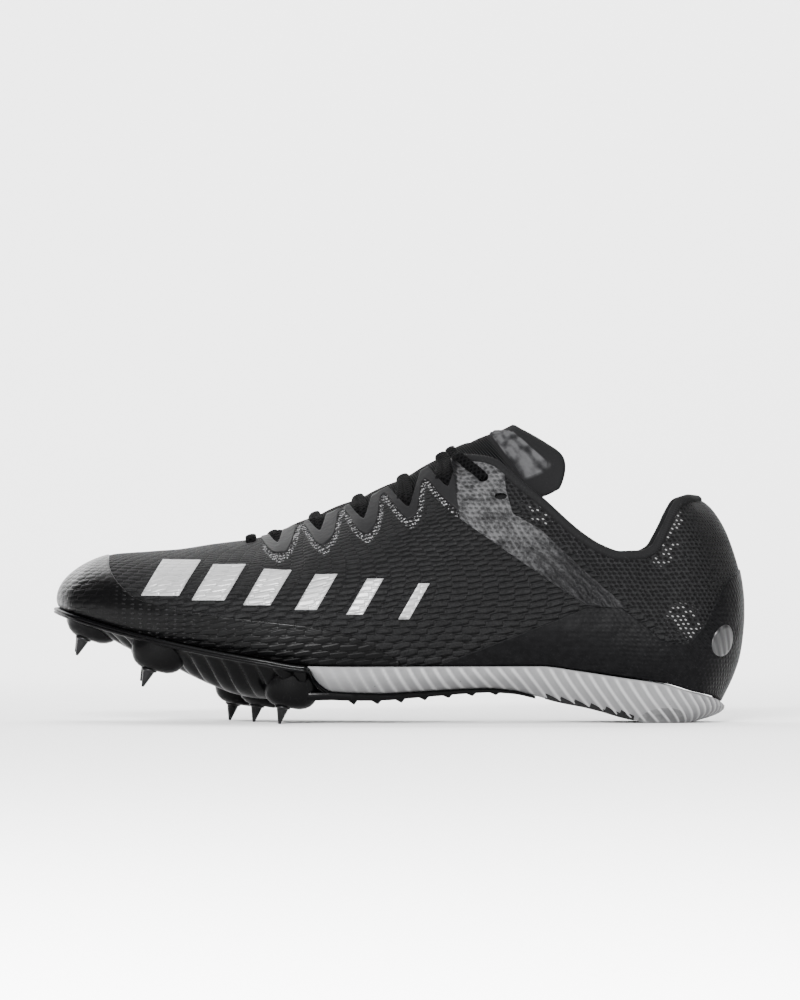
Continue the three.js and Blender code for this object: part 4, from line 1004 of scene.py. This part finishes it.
def smoothPath(points, count):
    # even points on a smooth curve through the given ones
    closedEnds = [points[0] * 2 - points[1], *points, points[-1] * 2 - points[-2]]
    dense = []
    for k in range(1, len(closedEnds) - 2):
        a, b, c, d = closedEnds[k - 1:k + 3]
        for step in range(24):
            t = step / 24
            dense.append(b + (c - a) * 0.5 * t + (a * 2 - b * 5 + c * 4 - d) * 0.5 * t * t + ((b - c) * 3 + d - a) * 0.5 * t ** 3)
    dense.append(points[-1])
    lengths = arcs(dense)
    result = []
    k = 0
    for n in range(count):
        goal = lengths[-1] * n / (count - 1)
        while k < len(dense) - 2 and lengths[k + 1] < goal:
            k += 1
        part = (goal - lengths[k]) / max(lengths[k + 1] - lengths[k], 1e-9)
        result.append(dense[k].lerp(dense[k + 1], min(max(part, 0), 1)))
    return result


binding = {"color": (0.0055, 0.0055, 0.0058), "rough": 0.8, "radius": 1.75 * mm}
bindingMaterial, tree, shader = newMaterial("binding", binding["color"], binding["rough"], Specular_IOR_Level=0.06)
s, t, depth = split(tree, shoeSpot(tree))
ribbing = calc(tree, "SINE", calc(tree, "ADD", calc(tree, "MULTIPLY", s, 7.0), calc(tree, "MULTIPLY", t, 1.2)))
grain = useGroup(tree, grainGroup, {"Spot": shoeSpot(tree)})
raised(tree, shader, calc(tree, "ADD", calc(tree, "MULTIPLY", ribbing, 0.25), grain.outputs[0]), 0.15 * mm)
rimTurns = turnsBetween(turnAt(0.583), 1, 2.2 * mm)
rimSides = [(-1, turn) for turn in rimTurns] + [(1, turn) for turn in reversed(rimTurns[:-1])]
edge, facing = [], []
for side, turn in rimSides:
    outer = wallPoint(side, turn, 1)
    normal = wallNormal(side, turn, 1)
    edge.append(outer - normal * last["wall"] * 0.5 + Vector((0, 0, 0.5 * mm)))
    facing.append(normal)
path = smoothPath(edge, 260)
normals = []
for k in range(260):
    place = k / 259 * (len(facing) - 1)
    i = min(int(place), len(facing) - 2)
    normals.append(facing[i].lerp(facing[i + 1], place - i))
bm = sweep(path, normals, binding["radius"] * 2.3, binding["radius"] * 2, 14)
finishPiece("collarBinding", bm, bindingMaterial, ["collar_binding"])
print("binding made")


# tongue: ribbed cloth with a padded top, its outer face swollen between the laces
def tonguePoint(at, across):
    spread = form["tongueHalf"](at) * last["ball"]
    fall = form["tongueFall"](at) * last["ball"] * across * across
    back = form["tongueBack"](at) * last["ball"] * across * across
    height = form["tongueHeight"](at) * last["instep"]
    side = form["ridge"](at) * last["ball"]
    return Vector((xAt(at) + back, side + across * spread, height - fall))


def tongueNormal(at, across):
    step = 0.004
    ahead = tonguePoint(at + step, across) - tonguePoint(at - step, across)
    sideways = tonguePoint(at, across + step) - tonguePoint(at, across - step)
    return ahead.cross(sideways).normalized()


laceRows = [place - 0.006 for place, height in notches]
tongueSize = {"thick": 3.0 * mm, "padding": 2.0 * mm, "first": 0.251, "last": 0.669}
panel = {"front": 0.63, "rear": 0.658, "ridge": 0.013, "half": 0.86}


def panelShare(at, across):
    # 0 on the border of the padded panel, 1 four millimetres inside it
    rear = panel["rear"] - panel["ridge"] * math.exp(-((across / 0.22) ** 2))
    run = min(at - panel["front"], rear - at) * last["length"] * 1.15
    wide = (panel["half"] - abs(across)) * form["tongueHalf"](at) * last["ball"]
    return min(max(min(run, wide) / (4 * mm), 0.0), 1.0)


def tongueSwell(at, across):
    swell = 0.0
    if at < 0.6:
        stops = [0.288, *laceRows, 0.6]
        for first, second in zip(stops, stops[1:]):
            if first < at < second:
                run = (at - first) / (second - first)
                swell = (0.4 + 0.8 * math.sin(math.pi * run)) * (1 - across ** 4)
    share = panelShare(at, across)
    swell += 0.9 * share ** 0.5
    if share > 0.02:
        swell += 0.5 * math.exp(-((share - 0.25) / 0.1) ** 2) + 0.35 * math.exp(-((share - 0.6) / 0.12) ** 2)
    return swell * mm


tongueRows, tongueColumns = 150, 56
spots = []
for i in range(tongueRows):
    share = i / (tongueRows - 1)
    close = min(1.0, min(share, 1 - share) / 0.012)
    column = []
    for k in range(tongueColumns * 2 + 1):
        angle = math.pi * k / tongueColumns
        across = -math.cos(angle)
        front = math.sin(angle) >= 0
        ear = max(0.0, abs(across) - 0.7) / 0.3
        topAt = tongueSize["last"] - 0.02 * ear ** 4
        at = tongueSize["first"] + (topAt - tongueSize["first"]) * share
        thick = tongueSize["thick"] + tongueSize["padding"] * min(max((share - 0.75) / 0.18, 0), 1)
        rounding = math.sqrt(abs(math.sin(angle))) * math.sqrt(close)
        middle = tonguePoint(at, across) - tongueNormal(at, across) * thick / 2
        if front:
            out = thick / 2 * rounding + tongueSwell(at, across) * close * min(1, abs(math.sin(angle)) * 3)
        else:
            out = -thick / 2 * rounding
        point = middle + tongueNormal(at, across) * out
        spread = form["tongueHalf"](at) * last["ball"]
        mark = panelShare(at, across) if front else 0.0
        column.append((point, ((at - 0.25) * last["length"], across * spread), mark))
    spots.append(column)
cloth = {"rib": (0.0062, 0.0062, 0.0065), "gap": (0.0006, 0.0006, 0.0007), "pad": (0.042, 0.042, 0.0435), "shade": (0.0065, 0.0065, 0.007)}
tongueMaterial, tree, shader = newMaterial("ribbedTongue", cloth["rib"], 0.85, Specular_IOR_Level=0.04)
spot = shoeSpot(tree)
s, t, depth = split(tree, spot)
ribbing = calc(tree, "SINE", calc(tree, "ADD", calc(tree, "MULTIPLY", s, 7.6), calc(tree, "MULTIPLY", t, 1.2)))
inPanel = stepped(tree, node(tree, "Attribute", attribute_name="mark").outputs["Fac"], 0.02, 0.14)
clothOnly = calc(tree, "SUBTRACT", 1.0, stepped(tree, s, 104.5, 106.5))
diamonds = node(tree, "TexVoronoi", {
    "Vector": joined(tree, calc(tree, "MULTIPLY", s, 0.36), calc(tree, "MULTIPLY", t, 0.2)),
    "Scale": 1.0, "Randomness": 0.45,
}, voronoi_dimensions="2D", feature="SMOOTH_F1").outputs["Distance"]
grain = useGroup(tree, grainGroup, {"Spot": spot})
height = calc(tree, "MULTIPLY", calc(tree, "MULTIPLY", ribbing, 0.6), clothOnly)
height = calc(tree, "ADD", height, calc(tree, "MULTIPLY", grain.outputs[0], 0.4))
height = calc(tree, "SUBTRACT", height, calc(tree, "MULTIPLY", calc(tree, "MULTIPLY", diamonds, inPanel), 3.2))
raised(tree, shader, height, 0.35 * mm)
# painted shade in the troughs of the ribs
rib = calc(tree, "MULTIPLY", stepped(tree, ribbing, 0.1, -0.9), clothOnly)
ribbed = tinted(tree, rib, cloth["rib"], cloth["gap"])
mottled = calc(tree, "ADD", diamonds, calc(tree, "MULTIPLY", noisy(tree, spot, 0.5, 3), 0.5))
padTone = tinted(tree, stepped(tree, mottled, 0.45, 0.85), cloth["pad"], cloth["shade"])
tree.links.new(tinted(tree, inPanel, ribbed, padTone), shader.inputs["Base Color"])
finishPiece("tongue", gridPiece(spots), tongueMaterial, ["tongue"])
print("tongue made")


# lace: a bar at the front, a doubled one in each notch, and the last run to the top holes
lace = {"color": (0.001, 0.001, 0.0011), "rough": 0.9, "wide": 4.2 * mm, "thick": 1.6 * mm}
laceMaterial, tree, shader = newMaterial("lace", lace["color"], lace["rough"], Specular_IOR_Level=0.03)
spot = shoeSpot(tree)
s, t, depth = split(tree, spot)
u = calc(tree, "MULTIPLY", s, 3.1)
v = calc(tree, "MULTIPLY", t, math.pi * 0.8)
braid = calc(tree, "MAXIMUM", calc(tree, "SINE", calc(tree, "ADD", u, v)), calc(tree, "SINE", calc(tree, "SUBTRACT", u, v)))
fluff = noisy(tree, spot, 2.2, 4, 0.7)
raised(tree, shader, calc(tree, "ADD", braid, calc(tree, "MULTIPLY", fluff, 1.4)), 0.35 * mm)
# painted light and shade: strand crowns lighter, the dips between strands darker
strand = stepped(tree, braid, -0.2, 0.9)
tree.links.new(tinted(tree, strand, (0.0004, 0.0004, 0.0005), (0.0028, 0.0028, 0.003)), shader.inputs["Base Color"])


def edgeSpot(side, at, lift, below=0.0):
    turn = turnAt(at)
    return wallOffset(side, turn, 1 - below, lift), wallNormal(side, turn, 1 - below)


def heightSpot(side, at, height, lift):
    turn = turnAt(at)
    level = levelAt(side, turn, height)
    return wallOffset(side, turn, level, lift), wallNormal(side, turn, level)


def overTongue(at, across, lift):
    normal = tongueNormal(at, across)
    return tonguePoint(at, across) + normal * (lift + tongueSwell(at, across)), normal


def laceRun(name, stops, nodes, count=70):
    points = smoothPath([stop[0] for stop in stops], count)
    normals = []
    for k in range(count):
        place = k / (count - 1) * (len(stops) - 1)
        i = min(int(place), len(stops) - 2)
        normals.append(stops[i][1].lerp(stops[i + 1][1], place - i))
    bm = sweep(points, normals, lace["wide"], lace["thick"], 16)
    return finishPiece(name, bm, laceMaterial, nodes)


def notchRun(name, outerAt, innerAt, tip, lift, nodes):
    # from inside one notch over the tongue into the notch across from it
    sits = lace["thick"] * 0.3
    middle = (outerAt + innerAt) / 2
    stops = []
    for side, at in ((-1, outerAt), (1, innerAt)):
        run = [
            heightSpot(side, at, tip - 3.5 * mm, -3.4 * mm),
            heightSpot(side, at, tip + 0.5 * mm, -2.0 * mm),
            heightSpot(side, at, tip + 4.5 * mm, -0.3 * mm),
            overTongue(at + (middle - at) * 0.4, side * 0.42, sits + 0.3 * mm + lift * 0.4),
        ]
        stops += run if side < 0 else [overTongue(middle, 0, sits + lift), *reversed(run)]
    laceRun(name, stops, nodes)


stops = []
for side in (-1, 1):
    run = [edgeSpot(side, 0.2835, -2.4 * mm, 0.1), edgeSpot(side, 0.2835, 0.9 * mm, 0.07), edgeSpot(side, 0.2835, 1.5 * mm, 0.02)]
    stops += run if side < 0 else [overTongue(0.2845, 0, 1.6 * mm), *reversed(run)]
laceRun("laceBar", stops, ["lace_1"])
for k, (at, height) in enumerate(notches):
    tip = height * last["instep"]
    nodes = [f"lace_{k + 2}"] if k < 4 else []
    notchRun(f"laceFront_{k + 2}", at - 0.014, at - 0.001, tip, 0.1 * mm, nodes)
    notchRun(f"laceRear_{k + 2}", at - 0.001, at - 0.014, tip, 0.9 * mm, [])
stops = []
for side in (-1, 1):
    run = [
        heightSpot(side, 0.6185, 99.6 * mm, -3 * mm), heightSpot(side, 0.6175, 100.4 * mm, 1.0 * mm),
        heightSpot(side, 0.6, 104.2 * mm, 1.9 * mm), edgeSpot(side, 0.584, 1.9 * mm),
        overTongue(0.577, side * 0.5, lace["thick"] * 0.5),
    ]
    stops += run if side < 0 else [overTongue(0.5755, 0, lace["thick"] * 0.5), *reversed(run)]
laceRun("laceTop", stops, ["lace_6"], 110)
print("laces made")


# foam: slanted thin ridges on its side with painted shade in the valleys between them, a flat bottom, light grey with
# dark specks
foam = {"color": (0.22, 0.22, 0.222), "valleyShade": (0.108, 0.108, 0.11), "rough": 0.7, "bulge": 2 * mm, "ridge": 0.95 * mm, "pitch": 5.3, "front": 0.368}


def solePoint(side, turn, level, out=0.0):
    rib = ribAt(side, min(turn, 1))
    at = rib["at"]
    top = rib["low"] - last["seatGap"]
    bottom = form["underHeight"](at) * last["feather"]
    bottomReach = rib["foot"] - form["underInset"](at) * last["ball"]
    swell = math.sin(math.pi * (0.2 + 0.75 * level)) * foam["bulge"]
    reach = rib["foot"] + (bottomReach - rib["foot"]) * level ** 2.4 + swell
    return onRib(rib, reach + out, top + (bottom - top) * level)


def foamCrest(at, run, level):
    rearness = min(max((at - 0.55) / 0.35, 0), 1)
    slant = (6 + 8 * rearness) * level ** 1.25
    phase = (run / mm - slant) / foam["pitch"]
    crest = (1 - abs(math.sin(math.pi * phase))) ** 1.6
    fade = min(1, level / 0.12) * min(max((at - 0.4) / 0.12, 0.15), 1) * min(1, (1.02 - level) / 0.1)
    return (crest - 0.25) * fade


def foamRidge(at, run, level):
    return foam["ridge"] * foamCrest(at, run, level)


foamMaterial, tree, shader = newMaterial("foam", foam["color"], foam["rough"], Specular_IOR_Level=0.15)
spot = objectSpot(tree)
bead = noisy(tree, spot, 0.9, 3)
raised(tree, shader, bead, 0.12 * mm)
specks = node(tree, "TexVoronoi", {"Vector": spot, "Scale": 0.2, "Randomness": 1.0})
tone = node(tree, "SeparateColor", {0: specks.outputs["Color"]})
reach = calc(tree, "MULTIPLY", calc(tree, "POWER", tone.outputs[0], 3.0), 0.075)
speck = calc(tree, "LESS_THAN", specks.outputs["Distance"], reach)
small = node(tree, "TexVoronoi", {"Vector": spot, "Scale": 0.55, "Randomness": 1.0})
tiny = calc(tree, "LESS_THAN", small.outputs["Distance"], 0.06)
dark = calc(tree, "MULTIPLY", calc(tree, "MAXIMUM", speck, calc(tree, "MULTIPLY", tiny, 0.4)), 0.8)
crest = node(tree, "Attribute", attribute_name="mark").outputs["Fac"]
# painted shade: the valleys between the ridges are darker
ridged = tinted(tree, stepped(tree, crest, -0.22, 0.5), foam["valleyShade"], foam["color"])
tree.links.new(tinted(tree, dark, ridged, (0.03, 0.03, 0.03)), shader.inputs["Base Color"])

foamTurns = turnsBetween(turnAt(foam["front"]), 1, 0.75 * mm, [(foam["front"], 0.4, 0.35 * mm)])
foamSides = [(-1, turn) for turn in foamTurns] + [(1, turn) for turn in reversed(foamTurns[:-1])]
foamLevels = [0] + spaced(30, 0.02, 1)
spots = []
for side, turn in foamSides:
    run = runTable(turn)
    at = ribAt(side, turn)["at"]
    rib = ribAt(side, turn)
    inner = solePoint(side, turn, 0) - Vector((rib["toX"], rib["toY"], 0)) * 7 * mm
    column = [inner]
    column += [solePoint(side, turn, level, foamRidge(at, run, level) - (0.5 * mm if level == 0 else 0)) for level in foamLevels]
    bottom = form["underHeight"](at) * last["feather"]
    flat = rib["foot"] - form["underInset"](at) * last["ball"] + 0.25 * mm
    axisBottom = form["underHeight"](shareAt(rib["axisX"])) * last["feather"]
    column += [onRib(rib, flat * share, bottom + (axisBottom - bottom) * (1 - share)) for share in (0.98, 0.85, 0.6, 0.3, 0)]
    crests = [0.0] + [foamCrest(at, run, level) for level in foamLevels] + [0.0] * 5
    spots.append([(point, (run, height), crest) for point, height, crest in zip(column, arcs(column), crests)])
finishPiece("foam", gridPiece(spots), foamMaterial, ["midsole"])


def soleSheet(startAt, endAt, topLine, out, rows, slant=0.0, flatShare=0.55):
    # rubber on the lower side of the foam, from a line drawn from the side down and under
    turns = turnsBetween(turnAt(startAt), turnAt(endAt), 0.5 * mm)
    sheets = []
    for side in (-1, 1):
        spots = []
        for i, turn in enumerate(turns):
            rib = ribAt(side, turn)
            at = rib["at"]
            top = rib["low"] - last["seatGap"]
            bottom = form["underHeight"](at) * last["feather"]
            first = min(max((top - topLine(at)) / max(top - bottom, 1e-6), 0.0), 0.97)
            run = runTable(turn)
            column = []
            crests = []
            for j in range(rows):
                share = j / (rows - 1)
                rim = j == 0 or i in (0, len(turns) - 1)
                level = first + (1 - first) * share
                ridge = foamRidge(at, run, level) * slant
                crests.append(foamCrest(at, run, level))
                column.append(solePoint(side, turn, level, (-0.4 * mm if rim else out) + ridge))
            flat = rib["foot"] - form["underInset"](at) * last["ball"]
            away = 0.4 * mm if i in (0, len(turns) - 1) else -min(out, bottom) * 0.9
            column += [onRib(rib, flat * part, bottom + away) for part in (0.97, 0.8, flatShare, 0.0)]
            crests += [0.0] * 4
            spots.append([(point, (run, height), crest) for point, height, crest in zip(column, arcs(column), crests)])
        sheets.append(spots)
    return sheets


def sawLine(at):
    share = (at - 0.708) / (0.84 - 0.708)
    base = (0.5 + (0.16 - 0.5) * min(max(share, 0), 1)) * last["feather"]
    tooth = (share * 6.0) % 1.0
    return base + 0.7 * mm - 1.7 * mm * tooth


rubberMaterial, tree, shader = newMaterial("blackRubber", (0.004, 0.004, 0.0043), 0.55, Specular_IOR_Level=0.14)
raised(tree, shader, noisy(tree, objectSpot(tree), 0.8, 4, 0.7), 0.12 * mm)
sheets = soleSheet(0.708, 0.838, sawLine, 0.3 * mm, 9)
for side, spots in zip(("outer", "inner"), sheets):
    nodes = ["heel_insert"] if side == "outer" else []
    finishPiece("heelInsert_" + side, gridPiece(spots), rubberMaterial, nodes)

padMaterial, tree, shader = newMaterial("heelPad", (0.17, 0.17, 0.172), 0.6, Specular_IOR_Level=0.15)
spot = objectSpot(tree)
raised(tree, shader, noisy(tree, spot, 0.8, 4), 0.1 * mm)
# dark mottled tone of wear and painted shade, with a painted highlight on the rib crests
wearAndShade = tinted(tree, stepped(tree, noisy(tree, spot, 0.25, 3), 0.4, 0.65), (0.06, 0.06, 0.061), (0.085, 0.085, 0.086))
crest = node(tree, "Attribute", attribute_name="mark").outputs["Fac"]
tree.links.new(tinted(tree, stepped(tree, crest, -0.1, 0.6), wearAndShade, (0.24, 0.24, 0.242)), shader.inputs["Base Color"])


def padLine(at):
    run = (at - 0.886) / 0.044
    return 6.6 * mm * max(0.0, 1 - run * run) ** 0.5 + 0.1 * mm


sheets = soleSheet(0.843, 0.929, padLine, 0.28 * mm, 12, 1.2)
for side, spots in zip(("outer", "inner"), sheets):
    nodes = ["heel_pad"] if side == "outer" else []
    finishPiece("heelPad_" + side, gridPiece(spots), padMaterial, nodes)
print("foam made")


# hard plate: rim with two bands, louvred belly, bosses, thin tail with teeth
plate = {"color": (0.0007, 0.0007, 0.0008), "rough": 0.28, "reach": 1.6 * mm, "root": 4 * mm, "end": 0.41}
plateMaterial, tree, shader = newMaterial("hardPlate", plate["color"], plate["rough"], Coat_Weight=0.05, Coat_Roughness=0.12, Specular_IOR_Level=0.05)
spot = objectSpot(tree)
raised(tree, shader, noisy(tree, spot, 0.12, 3, 0.6), 0.5 * mm, 0.5)
wearAndShade = stepped(tree, noisy(tree, spot, 0.5, 5, 0.7), 0.6, 0.75)
tree.links.new(mixed(tree, wearAndShade, plate["rough"], 0.42), shader.inputs["Roughness"])


def bellyAt(at):
    return form["plateBelly"](at) * last["feather"]


def louvre(run, depth, at):
    # one-sided blades that lean back as they go down the belly
    phase = (run / mm - depth * 9.0) / 7.2
    saw = phase - math.floor(phase)
    blade = saw ** 2.2 if saw < 0.86 else (1 - saw) / 0.14 * 0.86 ** 2.2
    fade = math.sin(math.pi * min(max(depth, 0), 1)) ** 0.7
    fade *= min(max((at - 0.035) / 0.04, 0), 1) * min(max((0.4 - at) / 0.04, 0), 1)
    return blade * fade * 3.6 * mm


frontTurns = turnsBetween(0, turnAt(plate["end"]), 0.6 * mm)
spots = []
for side, turn in sidesOf(frontTurns):
    rib = ribAt(side, turn)
    at = rib["at"]
    run = runTable(turn)
    rearness = min(max((at - 0.3655) / 0.01, 0), 1)
    under = form["underHeight"](at) * last["feather"] - 0.3 * mm
    footReach = rib["foot"] - form["underInset"](at) * last["ball"]
    top = rib["low"] - last["seatGap"]
    top += (under - top) * rearness
    reach = rib["widest"] + plate["reach"]
    reach += (footReach + 1 * mm - reach) * rearness
    bottom = min(bellyAt(at), top - 3.4 * mm)
    root = reach - plate["root"]
    profile = [
        (min(rib["foot"] - 3 * mm, reach - 3 * mm), top + 0.2 * mm), (reach - 0.9 * mm, top + 0.15 * mm),
        (reach - 0.45 * mm, top + 0.05 * mm), (reach - 0.15 * mm, top - 0.25 * mm),
        (reach - 0.05 * mm, top - 0.75 * mm), (reach - 0.1 * mm, top - 1.0 * mm),
        (reach - 0.42 * mm, top - 1.12 * mm), (reach - 0.42 * mm, top - 1.22 * mm),
        (reach - 0.08 * mm, top - 1.35 * mm), (reach, top - 1.7 * mm),
        (reach - 0.2 * mm, top - 2.2 * mm), (reach - 0.7 * mm, top - 2.5 * mm),
        (reach - 1.6 * mm, top - 2.45 * mm), (reach - 2.6 * mm, top - 2.3 * mm),
        (root, top - 2.5 * mm),
    ]
    column = [onRib(rib, *pair) for pair in profile]
    innerReach = root * 0.52
    for k in range(1, 19):
        share = k / 18
        eased = share * share * (3 - 2 * share)
        height = top - 2.5 * mm + (bottom - top + 2.5 * mm) * math.sin(share * math.pi / 2) ** 1.1
        reachHere = root + (innerReach - root) * share ** 1.25
        push = louvre(run, share, at)
        column.append(onRib(rib, reachHere - push * 0.6, height + push * 0.75))
    axisBelly = bellyAt(shareAt(rib["axisX"]))
    for share in (0.7, 0.35, 0):
        column.append(onRib(rib, innerReach * share, axisBelly + (bottom - axisBelly) * share))
    spots.append([(point, (run, height), 0.0) for point, height in zip(column, arcs(column))])
finishPiece("plateFront", gridPiece(spots), plateMaterial, ["spike_plate"])


def tailUnder(at):
    return form["underHeight"](max(at, 0.404)) * last["feather"]


def tailThick(at):
    share = (max(at, 0.35) - 0.35) / (0.695 - 0.35)
    return (3.6 + (1 - 3.6) * share) * mm


tailTurns = turnsBetween(turnAt(0.36), turnAt(0.695), 0.6 * mm)
spots = []
for turn in tailTurns:
    outer, inner = ribAt(-1, turn), ribAt(1, turn)
    at = outer["at"]
    top = tailUnder(at) - 0.15 * mm
    thick = tailThick(at)
    inset = form["underInset"](0.472) * last["ball"] - 2 * mm
    phase = ((at - 0.41) / 0.034) % 1.0
    tooth = max(0.0, 1 - abs(phase - 0.72) / (0.26 if phase < 0.72 else 0.12)) if 0.41 < at < 0.66 else 0.0
    drop = (0.5 + 1.5 * thick / (3.6 * mm)) * mm * tooth
    column = []
    for rib, order in ((outer, 1), (inner, -1)):
        reach = rib["foot"] - inset
        edge = [
            (reach - 8 * mm, top), (reach, top), (reach + 0.25 * mm, top - 0.3 * mm),
            (reach + 0.1 * mm, top - thick * 0.6), (reach - 0.5 * mm, top - thick - drop),
            (reach - 2.4 * mm, top - thick - drop * 0.9), (reach - 3.2 * mm, top - thick),
            (reach - 9 * mm, top - thick + 0.4 * mm), (reach * 0.3, top - thick + 0.8 * mm),
        ]
        column += [onRib(rib, *pair) for pair in edge[::order]]
    spots.append([(point, (runTable(turn), height), 0.0) for point, height in zip(column, arcs(column))])
finishPiece("plateTail", gridPiece(spots), plateMaterial, [])

spikes = [
    ("front_outer", 0.042, -0.13, 1.155), ("front_inner", 0.034, 0.24, 1.19),
    ("middle_outer", 0.14, -0.31, 0.63), ("middle_inner", 0.128, 0.36, 0.68),
    ("rear_inner", 0.254, 0.34, 0), ("rear_centre", 0.292, 0, 0),
    ("rear_outer", 0.332, -0.37, 0),
]
spikeSize = {
    "length": 7.4 * mm, "flange": 3.1 * mm, "flangeThick": 1.1 * mm, "root": 2.35 * mm, "tip": 0.55 * mm,
    "frontLean": 0.4, "rearLean": 0.2,
}
spikeMaterial, tree, shader = newMaterial("spikeSteel", (0.012, 0.012, 0.0125), 0.34, Metallic=0.7, Specular_IOR_Level=0.2)
raised(tree, shader, noisy(tree, objectSpot(tree), 1.2, 3), 0.05 * mm)


def lathe(base, profile, around, lean=0.0, squash=1.0, slope=0.0):
    # profile of (radius, height above the base) turned about a leaning line
    spots = []
    for k in range(around + 1):
        angle = 2 * math.pi * k / around
        column = []
        for radius, height in profile:
            x = radius * math.cos(angle) * squash + lean * height
            across = radius * math.cos(angle) * squash
            point = base + Vector((x, radius * math.sin(angle), height - slope * across))
            column.append((point, (radius * angle, height), 0.0))
        spots.append(column)
    return gridPiece(spots)


for name, at, sideways, lift in spikes:
    base = Vector((xAt(at), sideways * last["ball"], lift * last["feather"] + spikeSize["length"]))
    slope = (featherAt(at - 0.03) - featherAt(at + 0.03)) / (0.06 * last["length"])
    roof = featherAt(at + 0.008) - last["seatGap"] - 1.4 * mm - base.z
    inward = 1.5 * mm * (0 if sideways == 0 else math.copysign(1, sideways))
    seat = base + Vector((2.2 * mm, -inward, -slope * 2.2 * mm))
    dome = [(0, -0.5), (3.8, -0.45), (5.6, 0.3), (7.0, 1.5), (7.9, 3.0), (8.6, 5.2), (9.0, 8)]
    profile = [(radius * mm, height * mm) for radius, height in dome if height * mm < roof] + [(9.2 * mm, roof)]
    finishPiece("boss_" + name, lathe(seat, profile, 40, slope, 1.25, slope), plateMaterial, [])
    tip, root = spikeSize["tip"], spikeSize["root"]
    flange, thick, long = spikeSize["flange"], spikeSize["flangeThick"], spikeSize["length"]
    profile = [
        (0, -long), (tip * 0.7, -long + 0.02 * mm), (tip, -long + 0.25 * mm),
        (root * 0.93, -thick - 0.6 * mm), (root, -thick - 0.1 * mm),
        (flange - 0.25 * mm, -thick), (flange, -thick + 0.2 * mm), (flange, -0.2 * mm), (0, -0.15 * mm),
    ]
    lean = spikeSize["rearLean"] if name.startswith("rear") else spikeSize["frontLean"]
    finishPiece("spike_" + name, lathe(base, profile, 18, lean, 1.0, slope), spikeMaterial, ["spike_" + name])
print("plate and spikes made")

# sock liner inside
linerMaterial, tree, shader = newMaterial("sockLiner", (0.012, 0.012, 0.0125), 0.9, Specular_IOR_Level=0.1)
grain = useGroup(tree, grainGroup, {"Spot": objectSpot(tree)})
raised(tree, shader, grain.outputs[0], 0.25 * mm)
linerTurns = turnsBetween(0, 1, 3 * mm)
spots = []
for side, turn in sidesOf(linerTurns):
    rib = ribAt(side, turn)
    centre = featherAt(shareAt(rib["axisX"]))
    reach = rib["foot"] - last["wall"] - 0.5 * mm
    column = []
    for share in (0, 0.2, 0.4, 0.6, 0.8, 0.94, 0.985, 1, 1):
        height = centre + (rib["low"] - centre) * share + 3.2 * mm + (0.9 * mm * share ** 4)
        if share == 1:
            height -= (0.4 if len(column) == 7 else 2.8) * mm
        column.append((onRib(rib, reach * share, height), (reach * share, runTable(turn)), 0.0))
    spots.append(column)
finishPiece("sockLiner", gridPiece(spots), linerMaterial, ["insole"])
print("liner made")


# stage: pale sweep, soft lights and the camera
stage = {"floor": (0.93, 0.93, 0.93), "camera": (0.0, -2.5, 0.06), "lens": 219.5, "room": 0.2}
floorMaterial, tree, shader = newMaterial("paleSweep", stage["floor"], 0.9)
bm = bmesh.new()
bmesh.ops.create_grid(bm, x_segments=2, y_segments=40, size=3)
for vert in bm.verts:
    run = vert.co.y + 3
    back = max(run - 4.2, 0)
    vert.co.x *= 1.6
    if back > 0:
        angle = min(back / 0.9, math.pi / 2)
        rest = max(back - 0.9 * math.pi / 2, 0)
        vert.co.y = 1.2 + 0.9 * math.sin(angle)
        vert.co.z = 0.9 * (1 - math.cos(angle)) + rest * 2.5
for face in bm.faces:
    face.smooth = True
mesh = bpy.data.meshes.new("sweep")
bm.to_mesh(mesh)
bm.free()
backdrop = bpy.data.objects.new("sweep", mesh)
mesh.materials.append(floorMaterial)
bpy.context.scene.collection.objects.link(backdrop)

world = bpy.data.worlds.new("softRoom")
bpy.context.scene.world = world
world.use_nodes = True
world.node_tree.nodes["Background"].inputs[0].default_value = (1, 1, 1, 1)
world.node_tree.nodes["Background"].inputs[1].default_value = stage["room"]

lights = [
    ("overhead", (0.1, -0.2, 1.5), (0, 0, 0), 1.6, 0.8, 16),
    ("frontKey", (-0.3, -2.3, 0.8), (0, 0, 0.04), 0.7, 0.25, 190),
    ("frontLeft", (-1.0, -1.5, 0.75), (0, 0, 0.05), 0.8, 0.9, 14),
    ("frontRight", (1.2, -1.1, 0.6), (0, 0, 0.05), 0.5, 0.9, 10),
    ("rearLeft", (-0.9, 1.0, 0.9), (0, 0, 0.05), 0.8, 0.6, 10),
    ("wallWash", (0, 1.3, 2.0), (0, 2.1, 0.5), 3.0, 0.6, 120),
]
for name, place, aim, wide, deep, power in lights:
    data = bpy.data.lights.new(name, "AREA")
    data.shape = "RECTANGLE"
    data.size = wide
    data.size_y = deep
    data.energy = power
    lamp = bpy.data.objects.new(name, data)
    bpy.context.scene.collection.objects.link(lamp)
    lamp.location = place
    lamp.rotation_euler = (Vector(aim) - Vector(place)).to_track_quat("-Z", "Y").to_euler()

data = bpy.data.cameras.new("camera")
camera = bpy.data.objects.new("camera", data)
bpy.context.scene.collection.objects.link(camera)
bpy.context.scene.camera = camera
camera.location = stage["camera"]
camera.rotation_euler = (math.pi / 2, 0, 0)
data.sensor_fit = "AUTO"
data.sensor_width = 36
data.lens = stage["lens"]
data.clip_end = 50
data.shift_y = (0.091 - stage["camera"][2]) / 0.41
print("stage made")
